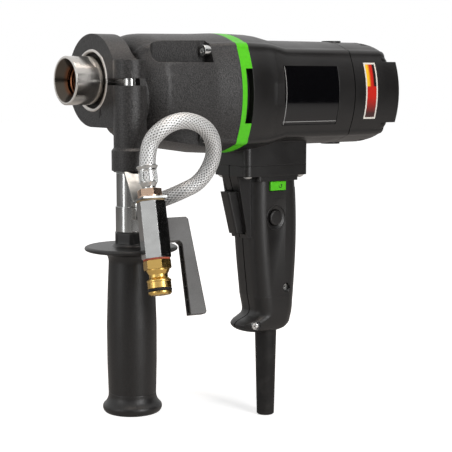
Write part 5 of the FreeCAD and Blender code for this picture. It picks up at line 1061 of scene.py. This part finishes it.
class RIG_OT_metalwork(bpy.types.Operator):
    """Dress the spindle, collar, tube, valve, plug, bracket and screws"""
    bl_idname = "rig.metalwork"
    bl_label = "Metalwork"

    def execute(self, context):
        for node in ("spindle", "neck_collar", "spacer_tube", "clamp_nut", "clamp_bolt", "valve_body",
                     "valve_bracket", "bracket_nut", "hose_connector", "water_inlet", "gearbox_screws",
                     "handle_flange_screws", "handle_shell_screws", "rear_cap_screws"):
            dress(node, node + "_metal")
        return {"FINISHED"}


# Marks

def ribbon(name, path, widths, origin, along, up, body, slot):
    """Raised mark on a flat face: a strip of its own width at each point of a path drawn on along and up,
    closed at both ends by a point in its middle."""
    path = np.array(path) * MM
    half = np.array(widths)[:, None] * MM / 2
    tangent = unit(np.gradient(path, axis=0))
    across = np.stack([-tangent[:, 1], tangent[:, 0]], -1) * half
    out = np.cross(along, up)
    left = (path + across) @ np.stack([along, up])
    right = (path - across) @ np.stack([along, up])
    lift = out * MARK_PROUD
    grid = np.stack([left - lift, left + lift, right + lift, right - lift], 1) + origin
    middle = grid.mean(axis=1, keepdims=True)[[0, -1]]
    ends = np.broadcast_to(middle, (2, 4, 3))
    grid = np.concatenate([ends[:1], grid, ends[1:]])
    mesh = mesh_from(name, grid, grid_faces(*grid.shape[:2], wrap_columns=True))
    return place_piece(name, tidy_mesh(mesh), body, slot)


class RIG_OT_marks(bpy.types.Operator):
    """Make the marks: a dark dart on the clamp, painted shade for a small recess there, a turning arrow on the
    slider and two lines under it
    """
    bl_idname = "rig.marks"
    bl_label = "Marks"

    def execute(self, context):
        # Painted shade: a dark raised dart stands where the clamp has a small shaded recess
        dart = np.array([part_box("clamp_ring")[0][0], DART_Y, DART_Z])
        ribbon("clamp_dart_shade", DART_PATH, DART_WIDTHS, dart, -Y_WAY, Z_WAY, BODY_OF["clamp_ring"], "black_rubber")
        low, high = (np.array(corner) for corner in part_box("direction_slider"))
        face = np.array([low[0] * (1 - ARROW_SHARE) + high[0] * ARROW_SHARE, low[1], (low[2] + high[2]) / 2])
        arc = ARROW_R * np.stack([np.cos(ARROW_TURN), np.sin(ARROW_TURN)], -1)
        ribbon("slider_arrow", arc, ARROW_WIDTHS, face, X_WAY, Z_WAY, BODY_OF["direction_slider"],
               "black_rubber")
        side = np.array([face[0], -HANDLE_HALF, face[2]])
        for name, path in HANDLE_LINES.items():
            ribbon(name, path, [LINE_WIDTH] * len(path), side, X_WAY, Z_WAY, BODY_OF["handle_shell_left"],
                   "black_plastic")
        return {"FINISHED"}


class RIG_OT_trim(bpy.types.Operator):
    """Dress the plates, sticker, sleeve, rings and gaskets"""
    bl_idname = "rig.trim"
    bl_label = "Plates, Sleeve and Rings"

    def execute(self, context):
        for node in ("label_plates", "side_sticker", "cable_sleeve", "connector_o_ring", "front_shaft_seal",
                     "fibre_gaskets"):
            dress(node, node + "_trim")
        return {"FINISHED"}


class RIG_OT_inner_parts(bpy.types.Operator):
    """Give every part inside the rig its own material"""
    bl_idname = "rig.inner_parts"
    bl_label = "Inner Parts"

    def execute(self, context):
        finish_nodes([node for node, piece in frame["nodes"].items() if not piece.hide_render])
        return {"FINISHED"}


# Studio

def lamp(name, place, width, height, watts, hex_colour):
    """Soft rectangular lamp that looks at the rig."""
    light = bpy.data.lights.new(name, "AREA")
    light.shape = "RECTANGLE"
    light.size = width
    light.size_y = height
    light.energy = watts
    light.color = linear(hex_colour)
    holder = bpy.data.objects.new(name, light)
    holder.location = place
    holder.rotation_euler = (Vector(LIT_POINT) - Vector(place)).to_track_quat("-Z", "Y").to_euler()
    bpy.context.scene.collection.objects.link(holder)


def flag(name, place, target, width, height, glow):
    """Board that faces a target, seen only in reflections, which keeps the sides of the rig dark; its glow,
    where given, is a painted reflection of a dimly lit grey card.
    """
    turn = (Vector(target) - Vector(place)).to_track_quat("Z", "Y")
    corners = [(-1, -1), (1, -1), (1, 1), (-1, 1)]
    points = np.array([Vector(place) + turn @ Vector((width / 2 * a, height / 2 * b, 0)) for a, b in corners])
    board = bpy.data.objects.new(name, mesh_from(name, points, ONE_FACE))
    bpy.context.scene.collection.objects.link(board)
    # Painted reflection: a board with glow reflects as a dimly lit grey card, though it is no lamp
    velvet = start_material("reflection_board_" + name, Base_Color=linear("#101010"), Roughness=1.0,
                            Specular_IOR_Level=0.0, Emission_Color=linear("#ffffff"), Emission_Strength=glow)
    board.data.materials.append(velvet[0])
    board.visible_camera = board.visible_diffuse = board.visible_shadow = board.visible_transmission = False


def studio_floor():
    """White board under the rig, which glows for the camera alone and fades into the world's white."""
    floor_z = float(CAD_BOX[0][2]) - FLOOR_GAP
    corners = np.array([(-4, -4, floor_z), (4, -4, floor_z), (4, 6, floor_z), (-4, 6, floor_z)])
    floor = bpy.data.objects.new("studio_floor", mesh_from("studio_floor", corners, ONE_FACE))
    bpy.context.scene.collection.objects.link(floor)
    material, tree, shader, place = start_material("matt_white_board", Roughness=0.9, Specular_IOR_Level=0.0,
                                                   Emission_Color=linear("#ffffff"))
    away = add_node(tree, "VectorMath", {"operation": "LENGTH"}, {0: place}).outputs["Value"]
    seen = add_node(tree, "LightPath").outputs["Is Camera Ray"]
    glow = math_node(tree, "MULTIPLY", remap(tree, away, 0.35, 0.9, 0.72, 1.0), seen)
    tree.links.new(glow, shader.inputs["Emission Strength"])
    white = colours().floor
    paper = blend_colour(tree, mottled(tree, place, 0.3, 3.0), shade(white, 0.99), white)
    tree.links.new(paper, shader.inputs["Base Color"])
    floor.data.materials.append(material)


def studio_world():
    """World that is white to the camera, to mirrors and through glass, and only a faint fill to the rest."""
    world = bpy.data.worlds.new("studio")
    world.use_nodes = True
    bpy.context.scene.world = world
    tree = world.node_tree
    back = tree.nodes["Background"]
    path = add_node(tree, "LightPath")
    seen = math_node(tree, "MAXIMUM", path.outputs["Is Camera Ray"], path.outputs["Is Glossy Ray"])
    seen = math_node(tree, "MAXIMUM", seen, path.outputs["Is Transmission Ray"])
    tree.links.new(remap(tree, seen, 0, 1, 0.12, 1.0), back.inputs["Strength"])
    back.inputs["Color"].default_value = (1, 1, 1, 1)


def photo_camera():
    """Camera with the photograph's view."""
    camera = bpy.data.cameras.new("photo_view")
    camera.lens = CAMERA_FOCAL_PX / FRAME_PX * SENSOR_MM
    camera.sensor_width = SENSOR_MM
    camera.clip_start = 0.01
    holder = bpy.data.objects.new("photo_view", camera)
    holder.location = CAMERA_PLACE
    holder.rotation_euler = Vector(CAMERA_AIM).to_track_quat("-Z", "Y").to_euler()
    bpy.context.scene.collection.objects.link(holder)
    bpy.context.scene.camera = holder


class RIG_OT_stage(bpy.types.Operator):
    """Make the white floor, the studio's world, the lamps and the camera"""
    bl_idname = "rig.stage"
    bl_label = "Studio"

    def execute(self, context):
        studio_floor()
        studio_world()
        for name, values in LAMPS.items():
            lamp(name, *values)
        for name, values in FLAGS.items():
            flag(name, *values)
        photo_camera()
        context.scene.view_settings.view_transform = "Standard"
        return {"FINISHED"}


OPERATORS = [
    RIG_OT_castings,
    RIG_OT_mouldings,
    RIG_OT_flange,
    RIG_OT_metalwork,
    RIG_OT_trim,
    RIG_OT_marks,
    RIG_OT_spindle_thread,
    RIG_OT_grip,
    RIG_OT_ferrules,
    RIG_OT_hose,
    RIG_OT_inner_parts,
    RIG_OT_stage,
]


class RIG_PT_panel(bpy.types.Panel):
    """Shows the rig's sizes, colours and operator buttons in the sidebar"""
    bl_idname = "RIG_PT_panel"
    bl_label = "Core Drill Rig"
    bl_space_type = "VIEW_3D"
    bl_region_type = "UI"
    bl_category = "Drill Rig"

    def draw(self, context):
        for group in (context.scene.rig_sizes, context.scene.rig_colours):
            column = self.layout.column(align=True)
            for name in group.__annotations__:
                column.prop(group, name)
        for operator in OPERATORS:
            self.layout.operator(operator.bl_idname)


CLASSES = [RigColours, RigSizes] + OPERATORS + [RIG_PT_panel]


def register():
    for item in CLASSES:
        bpy.utils.register_class(item)
    bpy.types.Scene.rig_sizes = PointerProperty(type=RigSizes)
    bpy.types.Scene.rig_colours = PointerProperty(type=RigColours)


def unregister():
    del bpy.types.Scene.rig_colours
    del bpy.types.Scene.rig_sizes
    for item in reversed(CLASSES):
        bpy.utils.unregister_class(item)


def main():
    """Build the dressed rig."""
    register()
    for operator in OPERATORS:
        getattr(bpy.ops.rig, operator.bl_idname.split(".")[1])()


if __name__ == "__main__":
    main()
